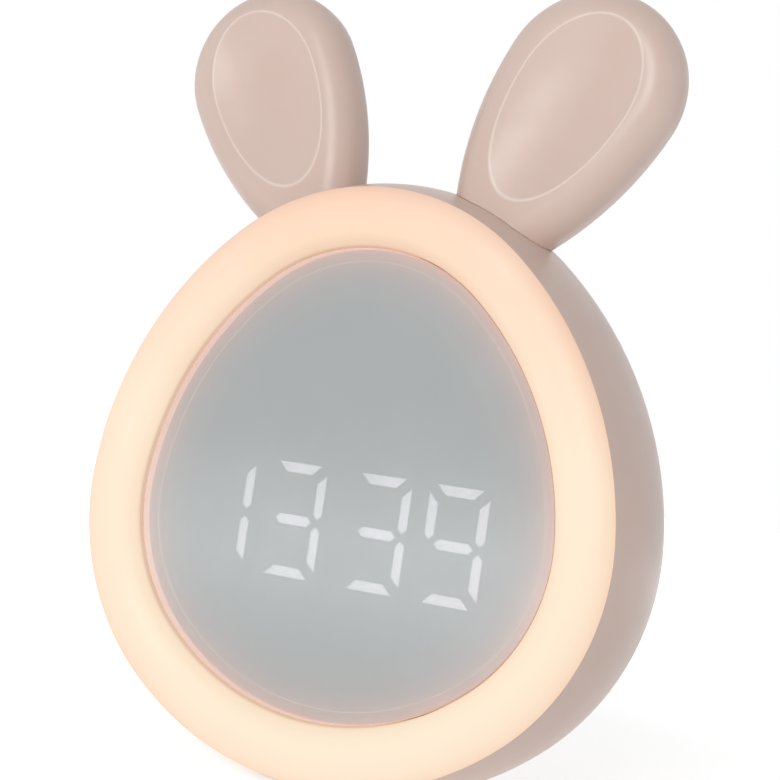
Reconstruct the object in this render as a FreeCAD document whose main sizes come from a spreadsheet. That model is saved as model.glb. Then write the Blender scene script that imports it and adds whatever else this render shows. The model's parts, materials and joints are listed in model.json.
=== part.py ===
import FreeCAD, Part
import math
import os
import Sketcher

# Bedside clock with a glowing egg-shaped ring, a mirror face, four digits and two ears.
# Millimetres. X runs to the right, Y from front to back, Z up. The origin lies on the table,
# below the middle of the overall box.

doc = FreeCAD.newDocument("AlarmClock")

# Driving dimensions
DIMENSIONS = [
    ("depth", 44.0, "front crown of the ring to the key tops"),
    ("crown_radius", 40.0, "outer ring edge, top arc"),
    ("crown_angle", 40.5, "half sweep of the top arc, degrees"),
    ("flank_radius", 65.4, "outer ring edge, flank arcs"),
    ("flank_angle", 44.4, "sweep of each flank arc, degrees"),
    ("cheek_radius", 41.8, "outer ring edge, lower cheek arcs"),
    ("cheek_angle", 53.4, "sweep of each cheek arc, degrees"),
    ("ring_lift", 1.8, "ring edge above the table"),
    ("ring_width", 10.0, "outer edge to lens opening"),
    ("ring_crown_rise", 3.6, "ring crown in front of the lens"),
    ("ring_edge_rise", 1.6, "outer ring edge in front of the lens"),
    ("ring_crown_inset", 4.6, "ring crown from the outer edge"),
    ("ring_lip", 0.4, "straight lip at the outer ring edge"),
    ("ring_inner_lip", 0.6, "inner ring edge in front of the lens"),
    ("ring_wall", 1.8, "moulded wall of the ring"),
    ("skirt_depth", 6.6, "skirt of the ring inside the housing"),
    ("ledge_width", 2.2, "ledge behind the lens"),
    ("ledge_thick", 1.2, "ledge thickness"),
    ("lens_thick", 2.0, "mirror lens"),
    ("tape_thick", 0.2, "adhesive between lens and ledge"),
    ("fit_gap", 0.15, "gap between pieces that drop into one another"),
    ("bulge", 3.3, "housing belly beyond the ring edge"),
    ("bulge_depth", 16.0, "housing belly behind the rim"),
    ("wall", 2.2, "housing wall"),
    ("corner_radius", 8.0, "rounding from the side to the back"),
    ("back_margin", 7.0, "back plate overlap inside the rounding"),
    ("key_proud", 1.0, "keys beyond the back face"),
    ("foot_proud", 1.0, "rubber feet below the flat base"),
    ("floor_thick", 2.4, "base floor"),
    ("floor_width", 42.0, "base floor, side to side"),
    ("floor_reach", 13.0, "base floor from the belly line, front to back"),
    ("foot_diameter", 6.0, "rubber foot"),
    ("foot_seat", 0.8, "foot recess"),
    ("foot_spread", 8.0, "feet from the middle, side to side"),
    ("foot_reach", 6.0, "feet from the belly line, front to back"),
    ("ear_tilt", 27.6, "ear axis from upright, degrees"),
    ("ear_shift", 1.35, "ear axis inboard of the crown centre"),
    ("ear_length", 45.6, "ring edge to ear tip along the ear axis"),
    ("ear_tip_radius", 16.3, "round top of the ear, half its width"),
    ("ear_side_radius", 60.0, "flank arcs of the ear"),
    ("ear_tail", 30.0, "ear blank below the tip centre"),
    ("ear_half_thick", 6.2, "half thickness of the ear"),
    ("ear_rounding", 5.6, "rounded edge of the ear"),
    ("ear_depth", 12.6, "ear mid plane behind the rim"),
    ("ear_wall", 3.0, "ear wall at the parting plane"),
    ("ear_skin", 1.8, "ear wall at its front and back"),
    ("ear_root", 12.0, "solid root of the ear"),
    ("ear_seat_gap", 0.05, "ear root from the housing"),
    ("ear_screw_shift", 3.5, "ear screws from the ear mid plane"),
    ("ear_screw_head_gap", 0.1, "ear screw head from the wall"),
    ("dish_depth", 2.0, "hollow in the ear front"),
    ("dish_half_width", 10.3, "hollow, half width"),
    ("dish_rise", 14.0, "hollow above its deepest line"),
    ("dish_fall", 21.0, "hollow below its deepest line"),
    ("dish_drop", 2.6, "deepest line below the tip centre"),
    ("frame_rim", 1.25, "outer rim of the light frame"),
    ("frame_depth", 11.6, "back of the light frame behind the lens front"),
    ("frame_floor", 1.4, "floor of the light frame"),
    ("frame_lead", 1.0, "front of the frame rim behind the lens front"),
    ("led_board_thick", 1.0, "ring light board"),
    ("led_count", 24.0, "lights in the ring"),
    ("led_length", 3.5, "ring light package"),
    ("led_width", 2.8, "ring light package"),
    ("led_thick", 0.7, "ring light package"),
    ("digit_pitch", 14.0, "digit to digit within a pair"),
    ("pair_pitch", 16.0, "digit to digit between the pairs"),
    ("digit_height", 18.1, "top to bottom segment centres"),
    ("digit_width", 9.1, "left to right segment centres"),
    ("segment_width", 1.7, "stroke of a segment"),
    ("corner_gap", 0.7, "top and bottom segments short of the digit width"),
    ("upright_gap", 1.2, "upright segments short of half the digit height"),
    ("middle_gap", 2.1, "middle segment short of the digit width"),
    ("segment_deep", 1.2, "depth of a segment window"),
    ("chip_length", 1.0, "segment light chip"),
    ("chip_width", 0.6, "segment light chip"),
    ("chip_thick", 0.5, "segment light chip"),
    ("digit_level", 44.9, "middle segments above the table"),
    ("digit_middle", -1.1, "middle of the four digits from the middle of the face"),
    ("block_end", 1.0, "digit block beyond the outer segments"),
    ("block_height", 22.5, "digit block"),
    ("block_gap", 0.1, "digit block behind the film"),
    ("film_thick", 0.2, "tinted film behind the lens"),
    ("board_strip", 6.0, "display board beyond each end of the digit block"),
    ("display_board_height", 24.0, "display board"),
    ("board_thick", 1.2, "display board"),
    ("battery_width", 40.0, "battery cell"),
    ("battery_height", 30.0, "battery cell"),
    ("battery_thick", 6.0, "battery cell"),
    ("battery_tape_thick", 0.5, "foam tape under the cell"),
    ("battery_rounding", 1.5, "battery cell edges"),
    ("main_board_width", 52.0, "main board"),
    ("main_board_height", 36.0, "main board"),
    ("main_board_thick", 1.6, "main board"),
    ("main_board_level", 35.0, "middle of the main board above the table"),
    ("key_level", 42.0, "keys above the table"),
    ("key_pitch", 11.0, "key to key"),
    ("key_diameter", 7.4, "key cap"),
    ("key_flange", 9.4, "key flange behind the wall"),
    ("key_flange_thick", 1.0, "key flange"),
    ("key_gap", 0.2, "key in its hole"),
    ("key_rounding", 0.5, "key cap edge"),
    ("key_travel", 0.5, "key stroke"),
    ("switch_side", 6.0, "tact switch body"),
    ("switch_height", 3.5, "tact switch body"),
    ("plunger_diameter", 3.2, "tact switch plunger"),
    ("plunger_proud", 1.2, "plunger out of its switch"),
    ("plunger_root", 0.4, "plunger inside its switch"),
    ("plunger_gap", 0.1, "plunger in its switch"),
    ("port_width", 8.94, "charging socket"),
    ("port_height", 3.26, "charging socket"),
    ("port_level", 25.0, "charging socket above the table"),
    ("port_recess", 0.4, "charging socket inside the back face"),
    ("port_gap", 0.2, "charging socket in its opening"),
    ("port_wall", 0.35, "charging socket shell"),
    ("port_floor", 1.0, "charging socket floor"),
    ("port_tongue_width", 6.6, "charging socket tongue"),
    ("port_tongue_height", 0.7, "charging socket tongue"),
    ("controller_side", 7.0, "controller chip"),
    ("controller_thick", 1.0, "controller chip"),
    ("crystal_width", 2.0, "clock crystal"),
    ("crystal_length", 6.0, "clock crystal"),
    ("crystal_gap", 1.5, "clock crystal beside the controller chip"),
    ("connector_offset", 18.0, "lead connectors from the middle"),
    ("connector_width", 6.0, "lead connector"),
    ("connector_height", 5.0, "lead connector"),
    ("connector_deep", 4.0, "lead connector"),
    ("slider_offset", 16.0, "slide switch to the right of the middle"),
    ("slider_body_width", 9.0, "slide switch body"),
    ("slider_body_height", 4.4, "slide switch body"),
    ("slider_knob_width", 2.6, "slide switch knob"),
    ("slider_knob_height", 2.2, "slide switch knob"),
    ("slider_travel", 3.0, "slide switch stroke"),
    ("slider_proud", 0.8, "slide switch knob beyond the back face"),
    ("slider_gap", 0.2, "slide switch knob in its slot"),
    ("tongue_width", 2.0, "knob tongue in the slide switch"),
    ("tongue_height", 1.2, "knob tongue in the slide switch"),
    ("tongue_deep", 0.8, "knob tongue in the slide switch"),
    ("speaker_diameter", 28.0, "speaker"),
    ("speaker_thick", 4.6, "speaker"),
    ("speaker_level", 68.0, "speaker above the table"),
    ("gasket_thick", 0.5, "speaker gasket"),
    ("gasket_width", 3.0, "speaker gasket"),
    ("grille_hole", 1.6, "speaker grille hole"),
    ("grille_pitch", 3.4, "ring to ring of grille holes"),
    ("grille_rings", 3.0, "rings of grille holes"),
    ("grille_step", 6.0, "more holes in each ring than in the one inside it"),
    ("well_wall", 1.2, "collar round the speaker"),
    ("well_depth", 3.0, "collar round the speaker"),
    ("magnet_diameter", 14.0, "speaker magnet"),
    ("basket_thick", 2.0, "speaker basket"),
    ("screw_diameter", 2.6, "case screw thread"),
    ("screw_length", 10.0, "case screw under the head"),
    ("screw_head", 4.6, "case screw head"),
    ("screw_head_thick", 1.5, "case screw head"),
    ("post_diameter", 6.4, "screw post of the light frame"),
    ("thread_gap", 0.05, "screw thread in its pilot hole"),
    ("shank_gap", 0.1, "small screw in the hole that it passes through"),
    ("screw_margin", 3.0, "board screws from the board edges"),
    ("small_boss", 5.0, "boss under a small screw"),
    ("boss_depth", 3.8, "screw boss inside the back plate"),
    ("upper_post_offset", 23.0, "upper posts from the middle"),
    ("upper_post_level", 73.0, "upper posts above the table"),
    ("lower_post_offset", 29.5, "lower posts from the middle"),
    ("lower_post_level", 28.5, "lower posts above the table"),
    ("small_screw", 2.0, "small screw thread"),
    ("small_screw_length", 5.0, "small screw under the head"),
    ("small_screw_head", 3.6, "small screw head"),
    ("small_screw_head_thick", 1.2, "small screw head"),
    ("recess_length", 0.6, "cross recess, share of the head diameter"),
    ("recess_width", 0.15, "cross recess, share of the head diameter"),
    ("recess_depth", 0.5, "cross recess, share of the head height"),
    ("head_chamfer", 0.25, "head edge, share of the head height"),
]

dims = doc.addObject("Spreadsheet::Sheet", "Dims")
for row, (alias, number, meaning) in enumerate(DIMENSIONS, start=1):
    dims.set(f"A{row}", meaning)
    dims.set(f"B{row}", str(number))
    dims.setAlias(f"B{row}", alias)
doc.recompute()


def value(expression):
    return float(dims.evalExpression(expression))


# Levels, as expressions of the driving dimensions
LENS_FRONT = "(Dims.ring_crown_rise - Dims.depth / 2)"
RIM = f"({LENS_FRONT} - Dims.ring_edge_rise)"
LEDGE_FRONT = f"({LENS_FRONT} + Dims.lens_thick + Dims.tape_thick)"
LEDGE_BACK = f"({LEDGE_FRONT} + Dims.ledge_thick)"
FRAME_BACK = f"({LENS_FRONT} + Dims.frame_depth)"
FRAME_FLOOR = f"({FRAME_BACK} - Dims.frame_floor)"
LED_BOARD_FRONT = f"({FRAME_FLOOR} - Dims.led_board_thick)"
BLOCK_FRONT = f"({LENS_FRONT} + Dims.lens_thick + Dims.film_thick + Dims.block_gap)"
DISPLAY_BACK = f"({FRAME_BACK} + Dims.board_thick)"
BACK_FACE = "(Dims.depth / 2 - Dims.key_proud)"
BACK_INNER = f"({BACK_FACE} - Dims.wall)"
KEY_SEAT = f"({BACK_INNER} - Dims.key_flange_thick)"
SWITCH_TOP = f"({KEY_SEAT} - Dims.plunger_proud)"
MAIN_BACK = f"({SWITCH_TOP} - Dims.switch_height)"
MAIN_FRONT = f"({MAIN_BACK} - Dims.main_board_thick)"
BELLY = f"({RIM} + Dims.bulge_depth)"
EAR_PLANE = f"({RIM} + Dims.ear_depth)"
SWEEP_1 = "Dims.crown_angle"
SWEEP_2 = "(Dims.crown_angle + Dims.flank_angle)"
SWEEP_3 = "(Dims.crown_angle + Dims.flank_angle + Dims.cheek_angle)"
CHEEK_END = (
    f"(Dims.crown_radius * sin({SWEEP_1})"
    f" + Dims.flank_radius * (sin({SWEEP_2}) - sin({SWEEP_1}))"
    f" + Dims.cheek_radius * (sin({SWEEP_3}) - sin({SWEEP_2})))"
)
BASE_RADIUS = f"({CHEEK_END} / sin({SWEEP_3}))"
CROWN_LEVEL = (
    f"(Dims.ring_lift + Dims.flank_radius * (cos({SWEEP_1}) - cos({SWEEP_2}))"
    f" + Dims.cheek_radius * (cos({SWEEP_2}) - cos({SWEEP_3}))"
    f" + {BASE_RADIUS} * (1 + cos({SWEEP_3})) - Dims.crown_radius * cos({SWEEP_1}))"
)
TOP_LEVEL = f"({CROWN_LEVEL} + Dims.crown_radius)"
BELLY_RADIUS = "((Dims.bulge_depth ^ 2 + Dims.bulge ^ 2) / (2 * Dims.bulge))"
BLOCK_WIDTH = (
    "(2 * Dims.digit_pitch + Dims.pair_pitch + Dims.digit_width"
    " + Dims.segment_width + 2 * Dims.block_end)"
)
DISPLAY_BOARD_WIDTH = f"({BLOCK_WIDTH} + 2 * Dims.board_strip)"


def new_body(label):
    body = doc.addObject("PartDesign::Body", label)
    body.Label = label
    return body


def origin_plane(body, role):
    return next(item for item in body.Origin.OriginFeatures if item.Role == role)


def new_sketch(body, role, name, shift="0"):
    """Sketch on an origin plane of its body, moved along the plane's normal."""
    sketch = body.newObject("Sketcher::SketchObject", f"{body.Name}_{name}")
    sketch.AttachmentSupport = (origin_plane(body, role), "")
    sketch.MapMode = "FlatFace"
    sketch.setExpression(".AttachmentOffset.Base.z", shift)
    return sketch


def facing_sketch(body, name, level):
    """Sketch in a plane that faces the front, at a distance from the middle of the depth."""
    return new_sketch(body, "XZ_Plane", name, f"-({level})")


def bind(sketch, kind, points, name, expression, unit=""):
    """Add a named dimension and bind it to the sheet."""
    number = value(expression)
    if unit:
        number = math.radians(number)
    index = sketch.addConstraint(Sketcher.Constraint(kind, *points, number))
    sketch.renameConstraint(index, name)
    sketch.setExpression(f"Constraints.{name}", f"({expression}){unit}")


def arc_edge(centre_x, centre_y, radius, start, end):
    """Counter-clockwise arc, with its ends given in degrees from the plane's first axis."""
    circle = Part.Circle(FreeCAD.Vector(centre_x, centre_y, 0), FreeCAD.Vector(0, 0, 1), radius)
    return Part.ArcOfCircle(circle, math.radians(start), math.radians(end))


def egg_centres():
    """Centres of the crown, flank, cheek and base arcs on the right half."""
    crown = (0.0, value(CROWN_LEVEL))
    radii = [value("Dims.crown_radius"), value("Dims.flank_radius"), value("Dims.cheek_radius")]
    turns = [math.radians(value(sweep)) for sweep in (SWEEP_1, SWEEP_2)]
    centres = [crown]
    for turn, radius, following in zip(turns, radii, radii[1:]):
        last_x, last_z = centres[-1]
        step = radius - following
        centres.append((last_x + step * math.sin(turn), last_z + step * math.cos(turn)))
    centres.append((0.0, value(f"Dims.ring_lift + {BASE_RADIUS}")))
    return centres


def egg_arcs(inset):
    """The egg outline, clockwise from its top, as centre, radius and sweep from upright."""
    crown, flank, cheek, base = egg_centres()
    first, second, third = (value(sweep) for sweep in (SWEEP_1, SWEEP_2, SWEEP_3))
    radii = [
        value(f"{name} - ({inset})")
        for name in ("Dims.crown_radius", "Dims.flank_radius", "Dims.cheek_radius", BASE_RADIUS)
    ]
    right = [
        (crown, radii[0], 0.0, first),
        (flank, radii[1], first, second),
        (cheek, radii[2], second, third),
    ]
    left = [((-c[0], c[1]), r, 360.0 - b, 360.0 - a) for c, r, a, b in reversed(right)]
    return right + [(base, radii[3], third, 360.0 - third)] + left


def add_egg(sketch, inset):
    """Egg outline, a steady distance inside the outer edge of the ring."""
    first = sketch.GeometryCount
    for (centre_x, centre_z), radius, start, end in egg_arcs(inset):
        sketch.addGeometry(arc_edge(centre_x, centre_z, radius, 90.0 - end, 90.0 - start), False)
    crown, flank, cheek, base, cheek_left, flank_left, crown_left = range(first, first + 7)
    chain = [crown, flank, cheek, base, cheek_left, flank_left, crown_left, crown]
    for here, following in zip(chain, chain[1:]):
        sketch.addConstraint(Sketcher.Constraint("Tangent", here, 1, following, 2))
    for index, point in ((crown, 3), (base, 3), (crown, 2)):
        sketch.addConstraint(Sketcher.Constraint("PointOnObject", index, point, -2))
    for right, left in ((crown, crown_left), (flank, flank_left), (cheek, cheek_left)):
        sketch.addConstraint(Sketcher.Constraint("Equal", right, left))
    tag = f"egg{first}"
    bind(sketch, "Radius", (crown,), f"{tag}_crown", f"Dims.crown_radius - ({inset})")
    bind(sketch, "Radius", (flank,), f"{tag}_flank", f"Dims.flank_radius - ({inset})")
    bind(sketch, "Radius", (cheek,), f"{tag}_cheek", f"Dims.cheek_radius - ({inset})")
    bind(sketch, "Angle", (crown,), f"{tag}_crown_sweep", "Dims.crown_angle", " * 1 deg")
    bind(sketch, "Angle", (crown_left,), f"{tag}_left_sweep", "Dims.crown_angle", " * 1 deg")
    bind(sketch, "Angle", (flank,), f"{tag}_flank_sweep", "Dims.flank_angle", " * 1 deg")
    bind(sketch, "Angle", (cheek,), f"{tag}_cheek_sweep", "Dims.cheek_angle", " * 1 deg")
    bind(sketch, "DistanceY", (-1, 1, crown, 3), f"{tag}_level", CROWN_LEVEL)


def curve_through(start, handle, next_handle, end):
    """Cubic curve with its two end points and the two handles between them."""
    poles = [FreeCAD.Vector(*point, 0) for point in (start, handle, next_handle, end)]
    curve = Part.BSplineCurve()
    curve.buildFromPolesMultsKnots(poles, [4, 4], [0.0, 1.0], False, 3)
    return curve


def bind_handles(sketch, curve, handles):
    """Tie the inner control points of a curve to the sheet."""
    for pole, handle in enumerate(handles, start=1):
        index = sketch.GeometryCount
        centre = FreeCAD.Vector(value(handle[0]), value(handle[1]), 0)
        sketch.addGeometry(Part.Circle(centre, FreeCAD.Vector(0, 0, 1), 1.0), True)
        sketch.addConstraint(
            Sketcher.Constraint("InternalAlignment:Sketcher::BSplineControlPoint", index, 3, curve, pole)
        )
        sketch.addConstraint(Sketcher.Constraint("Weight", index, 1.0))
        bind(sketch, "DistanceX", (-1, 1, index, 3), f"u{index}", handle[0])
        bind(sketch, "DistanceY", (-1, 1, index, 3), f"v{index}", handle[1])


def arc_between(start, end, radius, side):
    """Short arc between two points; its centre lies to the left (1) or right (-1) of the way."""
    begin_point, end_point = FreeCAD.Vector(*start, 0), FreeCAD.Vector(*end, 0)
    chord = end_point - begin_point
    across = FreeCAD.Vector(-chord.y, chord.x, 0).normalize() * side
    reach = math.sqrt(max(radius ** 2 - (chord.Length / 2) ** 2, 0.0))
    centre = (begin_point + end_point) * 0.5 + across * reach
    angles = [
        math.degrees(math.atan2(point.y - centre.y, point.x - centre.x))
        for point in (begin_point, end_point)
    ]
    return arc_edge(centre.x, centre.y, radius, *angles[::side])


def add_profile(sketch, corners):
    """Closed outline. A corner may add what leads to it: an arc's radius and side, or two handles."""
    points = [(value(corner[0]), value(corner[1])) for corner in corners]
    first = sketch.GeometryCount
    backward = set()
    for index, corner in enumerate(corners):
        start, end = points[index - 1], points[index]
        if len(corner) == 2:
            segment = Part.LineSegment(FreeCAD.Vector(*start, 0), FreeCAD.Vector(*end, 0))
        elif isinstance(corner[2], tuple):
            handles = [(value(handle[0]), value(handle[1])) for handle in corner[2:]]
            segment = curve_through(start, *handles, end)
        else:
            segment = arc_between(start, end, value(corner[2]), corner[3])
            if corner[3] < 0:
                backward.add(index)
        sketch.addGeometry(segment, False)
    for index, corner in enumerate(corners):
        following = (index + 1) % len(corners)
        end_point = 1 if index in backward else 2
        start_point = 2 if following in backward else 1
        sketch.addConstraint(
            Sketcher.Constraint("Coincident", first + index, end_point, first + following, start_point)
        )
        place = (-1, 1, first + index, end_point)
        bind(sketch, "DistanceX", place, f"u{first + index}", corner[0])
        bind(sketch, "DistanceY", place, f"v{first + index}", corner[1])
    for index, corner in enumerate(corners):
        if len(corner) == 2:
            continue
        if isinstance(corner[2], tuple):
            bind_handles(sketch, first + index, corner[2:])
        else:
            bind(sketch, "Radius", (first + index,), f"r{first + index}", corner[2])


def add_rectangle(sketch, centre_x, centre_z, width, height):
    left, right = f"{centre_x} - {width} / 2", f"{centre_x} + {width} / 2"
    low, high = f"{centre_z} - {height} / 2", f"{centre_z} + {height} / 2"
    add_profile(sketch, [(left, low), (right, low), (right, high), (left, high)])


def add_circle(sketch, centre_x, centre_z, diameter):
    index = sketch.GeometryCount
    centre = FreeCAD.Vector(value(centre_x), value(centre_z), 0)
    circle = Part.Circle(centre, FreeCAD.Vector(0, 0, 1), value(diameter) / 2)
    sketch.addGeometry(circle, False)
    bind(sketch, "Diameter", (index,), f"d{index}", diameter)
    bind(sketch, "DistanceX", (-1, 1, index, 3), f"x{index}", centre_x)
    bind(sketch, "DistanceY", (-1, 1, index, 3), f"z{index}", centre_z)


def finish_feature(body, feature):
    feature.Refine = True
    body.Tip = feature
    doc.recompute()
    return feature


def pad_back(body, sketch, length):
    """Add material from the sketch towards the back."""
    pad = body.newObject("PartDesign::Pad", f"{sketch.Name}_pad")
    pad.Profile = sketch
    pad.Reversed = True
    pad.setExpression("Length", length)
    return finish_feature(body, pad)


def pad_front(body, sketch, length):
    pad = body.newObject("PartDesign::Pad", f"{sketch.Name}_pad")
    pad.Profile = sketch
    pad.setExpression("Length", length)
    return finish_feature(body, pad)


def pocket_back(body, sketch, length):
    """Remove material from the sketch towards the back."""
    before = body.Tip.Shape.Volume
    pocket = body.newObject("PartDesign::Pocket", f"{sketch.Name}_pocket")
    pocket.Profile = sketch
    pocket.setExpression("Length", length)
    finish_feature(body, pocket)
    assert pocket.Shape.Volume < before, pocket.Name
    return pocket


def pocket_front(body, sketch, length):
    before = body.Tip.Shape.Volume
    pocket = body.newObject("PartDesign::Pocket", f"{sketch.Name}_pocket")
    pocket.Profile = sketch
    pocket.Reversed = True
    pocket.setExpression("Length", length)
    finish_feature(body, pocket)
    assert pocket.Shape.Volume < before, pocket.Name
    return pocket


def sweep_round_egg(body, name, level, corners, grow="0"):
    """Sweep a section, drawn at the top of the ring as depth and level, round the egg outline."""
    path = facing_sketch(body, f"{name}_path", level)
    add_egg(path, f"-({grow})")
    section = new_sketch(body, "YZ_Plane", f"{name}_section")
    add_profile(section, corners)
    pipe = body.newObject("PartDesign::AdditivePipe", f"{body.Name}_{name}")
    pipe.Profile = section
    pipe.Spine = path
    finish_feature(body, pipe)
    face = Part.Face(section.Shape.Wires[0])
    middle = face.CenterOfMass.z - value(f"{TOP_LEVEL} + {grow}")
    expected = face.Area * (path.Shape.Length + 2 * math.pi * middle)
    assert abs(pipe.Shape.Volume / expected - 1.0) < 1e-4, pipe.Name
    return pipe


def inset_level(inset):
    """Level at the top of the egg of a point that lies inside the outer edge."""
    return f"({TOP_LEVEL} - ({inset}))"


# Section of the housing: a belly arc from the rim, a rounding and the edge of the back plate
BELLY_CENTRE = f"({TOP_LEVEL} + Dims.bulge - {BELLY_RADIUS})"
CORNER_DEPTH = f"({BACK_FACE} - Dims.corner_radius)"
CORNER_ARM = f"({BELLY_RADIUS} - Dims.corner_radius)"
CORNER_SPAN = f"sqrt({CORNER_ARM} ^ 2 - ({CORNER_DEPTH} - {BELLY}) ^ 2)"
CORNER_LEVEL = f"({BELLY_CENTRE} + {CORNER_SPAN})"
BACK_INSET = f"({TOP_LEVEL} - {CORNER_LEVEL})"
INNER_RADIUS = f"({BELLY_RADIUS} - Dims.wall)"
RIM_INSIDE = f"({BELLY_CENTRE} + sqrt({INNER_RADIUS} ^ 2 - Dims.bulge_depth ^ 2))"
RIM_INSET = f"({TOP_LEVEL} - {RIM_INSIDE})"
SKIRT_OUTSIDE = f"({RIM_INSET} + Dims.fit_gap)"
SKIRT_INSIDE = f"({SKIRT_OUTSIDE} + Dims.ring_wall)"


def belly_curve(radius, grow="0"):
    """The belly arc of this radius as a curve: start, handle, next handle and end, front to back."""
    front_turn = f"asin(Dims.bulge_depth / {radius})"
    back_turn = f"asin(({CORNER_DEPTH} - {BELLY}) / {CORNER_ARM})"
    arm = f"({radius} * tan(({front_turn} + {back_turn}) / 4) * 4 / 3)"
    centre = f"({BELLY_CENTRE} + {grow})"
    start = (RIM, f"({centre} + {radius} * cos({front_turn}))")
    end = (f"({BELLY} + {radius} * sin({back_turn}))", f"({centre} + {radius} * cos({back_turn}))")
    handle = (
        f"({start[0]} + {arm} * cos({front_turn}))",
        f"({start[1]} + {arm} * sin({front_turn}))",
    )
    next_handle = (
        f"({end[0]} - {arm} * cos({back_turn}))",
        f"({end[1]} + {arm} * sin({back_turn}))",
    )
    return start, handle, next_handle, end


# Rear housing: one moulding with the belly wall, the back plate, bosses, speaker collar and openings
housing_shell = new_body("housing_shell")
plate_edge = f"({CORNER_LEVEL} - Dims.back_margin)"
outside = belly_curve(BELLY_RADIUS)
inside = belly_curve(INNER_RADIUS)
sweep_round_egg(housing_shell, "wall", RIM, [
    outside[0],
    (*outside[3], outside[1], outside[2]),
    (BACK_FACE, CORNER_LEVEL, "Dims.corner_radius", -1),
    (BACK_FACE, plate_edge),
    (BACK_INNER, plate_edge),
    (BACK_INNER, CORNER_LEVEL),
    (*inside[3], "(Dims.corner_radius - Dims.wall)", 1),
    (*inside[0], inside[2], inside[1]),
])
plate = facing_sketch(housing_shell, "plate", BACK_INNER)
add_egg(plate, f"{BACK_INSET} + Dims.back_margin / 2")
pad_back(housing_shell, plate, "Dims.wall")

POST_PLACES = [
    (f"{side} * Dims.{row}_post_offset", f"Dims.{row}_post_level")
    for row in ("upper", "lower")
    for side in (-1, 1)
]
BOARD_SCREW_PLACES = [
    (f"{side} * (Dims.main_board_width / 2 - Dims.screw_margin)",
     f"(Dims.main_board_level + {rise} * (Dims.main_board_height / 2 - Dims.screw_margin))")
    for rise in (-1, 1)
    for side in (-1, 1)
]
BOSS_FRONT = f"({BACK_INNER} - Dims.boss_depth)"
POST_BORE = "(Dims.screw_diameter + 2 * Dims.thread_gap)"
bosses = facing_sketch(housing_shell, "bosses", BOSS_FRONT)
for place in POST_PLACES:
    add_circle(bosses, *place, "Dims.post_diameter")
pad_back(housing_shell, bosses, f"{BACK_FACE} - {BOSS_FRONT} - Dims.wall / 2")
board_bosses = facing_sketch(housing_shell, "board_bosses", MAIN_BACK)
for place in BOARD_SCREW_PLACES:
    add_circle(board_bosses, *place, "Dims.small_boss")
pad_back(housing_shell, board_bosses, f"{BACK_FACE} - {MAIN_BACK} - Dims.wall / 2")
SMALL_BORE = "(Dims.small_screw + 2 * Dims.thread_gap)"
board_bores = facing_sketch(housing_shell, "board_bores", MAIN_BACK)
for place in BOARD_SCREW_PLACES:
    add_circle(board_bores, *place, SMALL_BORE)
pocket_back(housing_shell, board_bores, "Dims.small_screw_length - Dims.main_board_thick + Dims.fit_gap")
case_bores = facing_sketch(housing_shell, "case_bores", BOSS_FRONT)
for place in POST_PLACES:
    add_circle(case_bores, *place, POST_BORE)
pocket_back(housing_shell, case_bores, f"{BACK_FACE} - {BOSS_FRONT}")
HEAD_SEAT = f"({BACK_FACE} - Dims.screw_head_thick)"
head_recesses = facing_sketch(housing_shell, "head_recesses", HEAD_SEAT)
for place in POST_PLACES:
    add_circle(head_recesses, *place, "Dims.screw_head + 2 * Dims.fit_gap")
pocket_back(housing_shell, head_recesses, "Dims.screw_head_thick")

collar = facing_sketch(housing_shell, "collar", f"{BACK_INNER} - Dims.well_depth")
COLLAR_BORE = "(Dims.speaker_diameter + 2 * Dims.fit_gap)"
add_circle(collar, "0", "Dims.speaker_level", COLLAR_BORE)
add_circle(collar, "0", "Dims.speaker_level", f"{COLLAR_BORE} + 2 * Dims.well_wall")
pad_back(housing_shell, collar, "Dims.well_depth + Dims.wall / 2")
grille = facing_sketch(housing_shell, "grille", BACK_INNER)
add_circle(grille, "0", "Dims.speaker_level", "Dims.grille_hole")
for ring in range(1, int(value("Dims.grille_rings")) + 1):
    hole_count = ring * int(value("Dims.grille_step"))
    for step in range(hole_count):
        angle = 360.0 * step / hole_count
        add_circle(
            grille,
            f"{ring} * Dims.grille_pitch * sin({angle})",
            f"(Dims.speaker_level + {ring} * Dims.grille_pitch * cos({angle}))",
            "Dims.grille_hole",
        )
pocket_back(housing_shell, grille, "Dims.wall")

KEY_NAMES = ["mode", "alarm", "down", "up", "light"]
KEY_OFFSETS = [
    f"({index - (len(KEY_NAMES) - 1) / 2}) * Dims.key_pitch" for index in range(len(KEY_NAMES))
]
openings = facing_sketch(housing_shell, "openings", BACK_INNER)
for offset in KEY_OFFSETS:
    add_circle(openings, offset, "Dims.key_level", "Dims.key_diameter + 2 * Dims.key_gap")
add_rectangle(
    openings, "0", "Dims.port_level",
    "(Dims.port_width + 2 * Dims.port_gap)", "(Dims.port_height + 2 * Dims.port_gap)",
)
add_rectangle(
    openings, "Dims.slider_offset", "Dims.port_level",
    "(Dims.slider_knob_width + Dims.slider_travel + 2 * Dims.slider_gap)",
    "(Dims.slider_knob_height + 2 * Dims.slider_gap)",
)
pocket_back(housing_shell, openings, "Dims.wall")


# Solid belly of the housing, used to shape the base floor and the ear roots
def belly_solid(label, grow):
    body = new_body(label)
    core = f"({BACK_INSET} + 2 * Dims.back_margin)"
    outside = belly_curve(BELLY_RADIUS, grow)
    sweep_round_egg(body, "wall", RIM, [
        outside[0],
        (*outside[3], outside[1], outside[2]),
        (BACK_FACE, f"({CORNER_LEVEL} + {grow})", "Dims.corner_radius", -1),
        (BACK_FACE, inset_level(core)),
        (RIM, inset_level(core)),
    ], grow)
    return body


def part_box(label, low_corner, size):
    box = doc.addObject("Part::Box", label)
    box.Label = label
    for name, expression in zip(("x", "y", "z"), low_corner):
        box.setExpression(f"Placement.Base.{name}", expression)
    for name, expression in zip(("Length", "Width", "Height"), size):
        box.setExpression(name, expression)
    doc.recompute()
    return box


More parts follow.
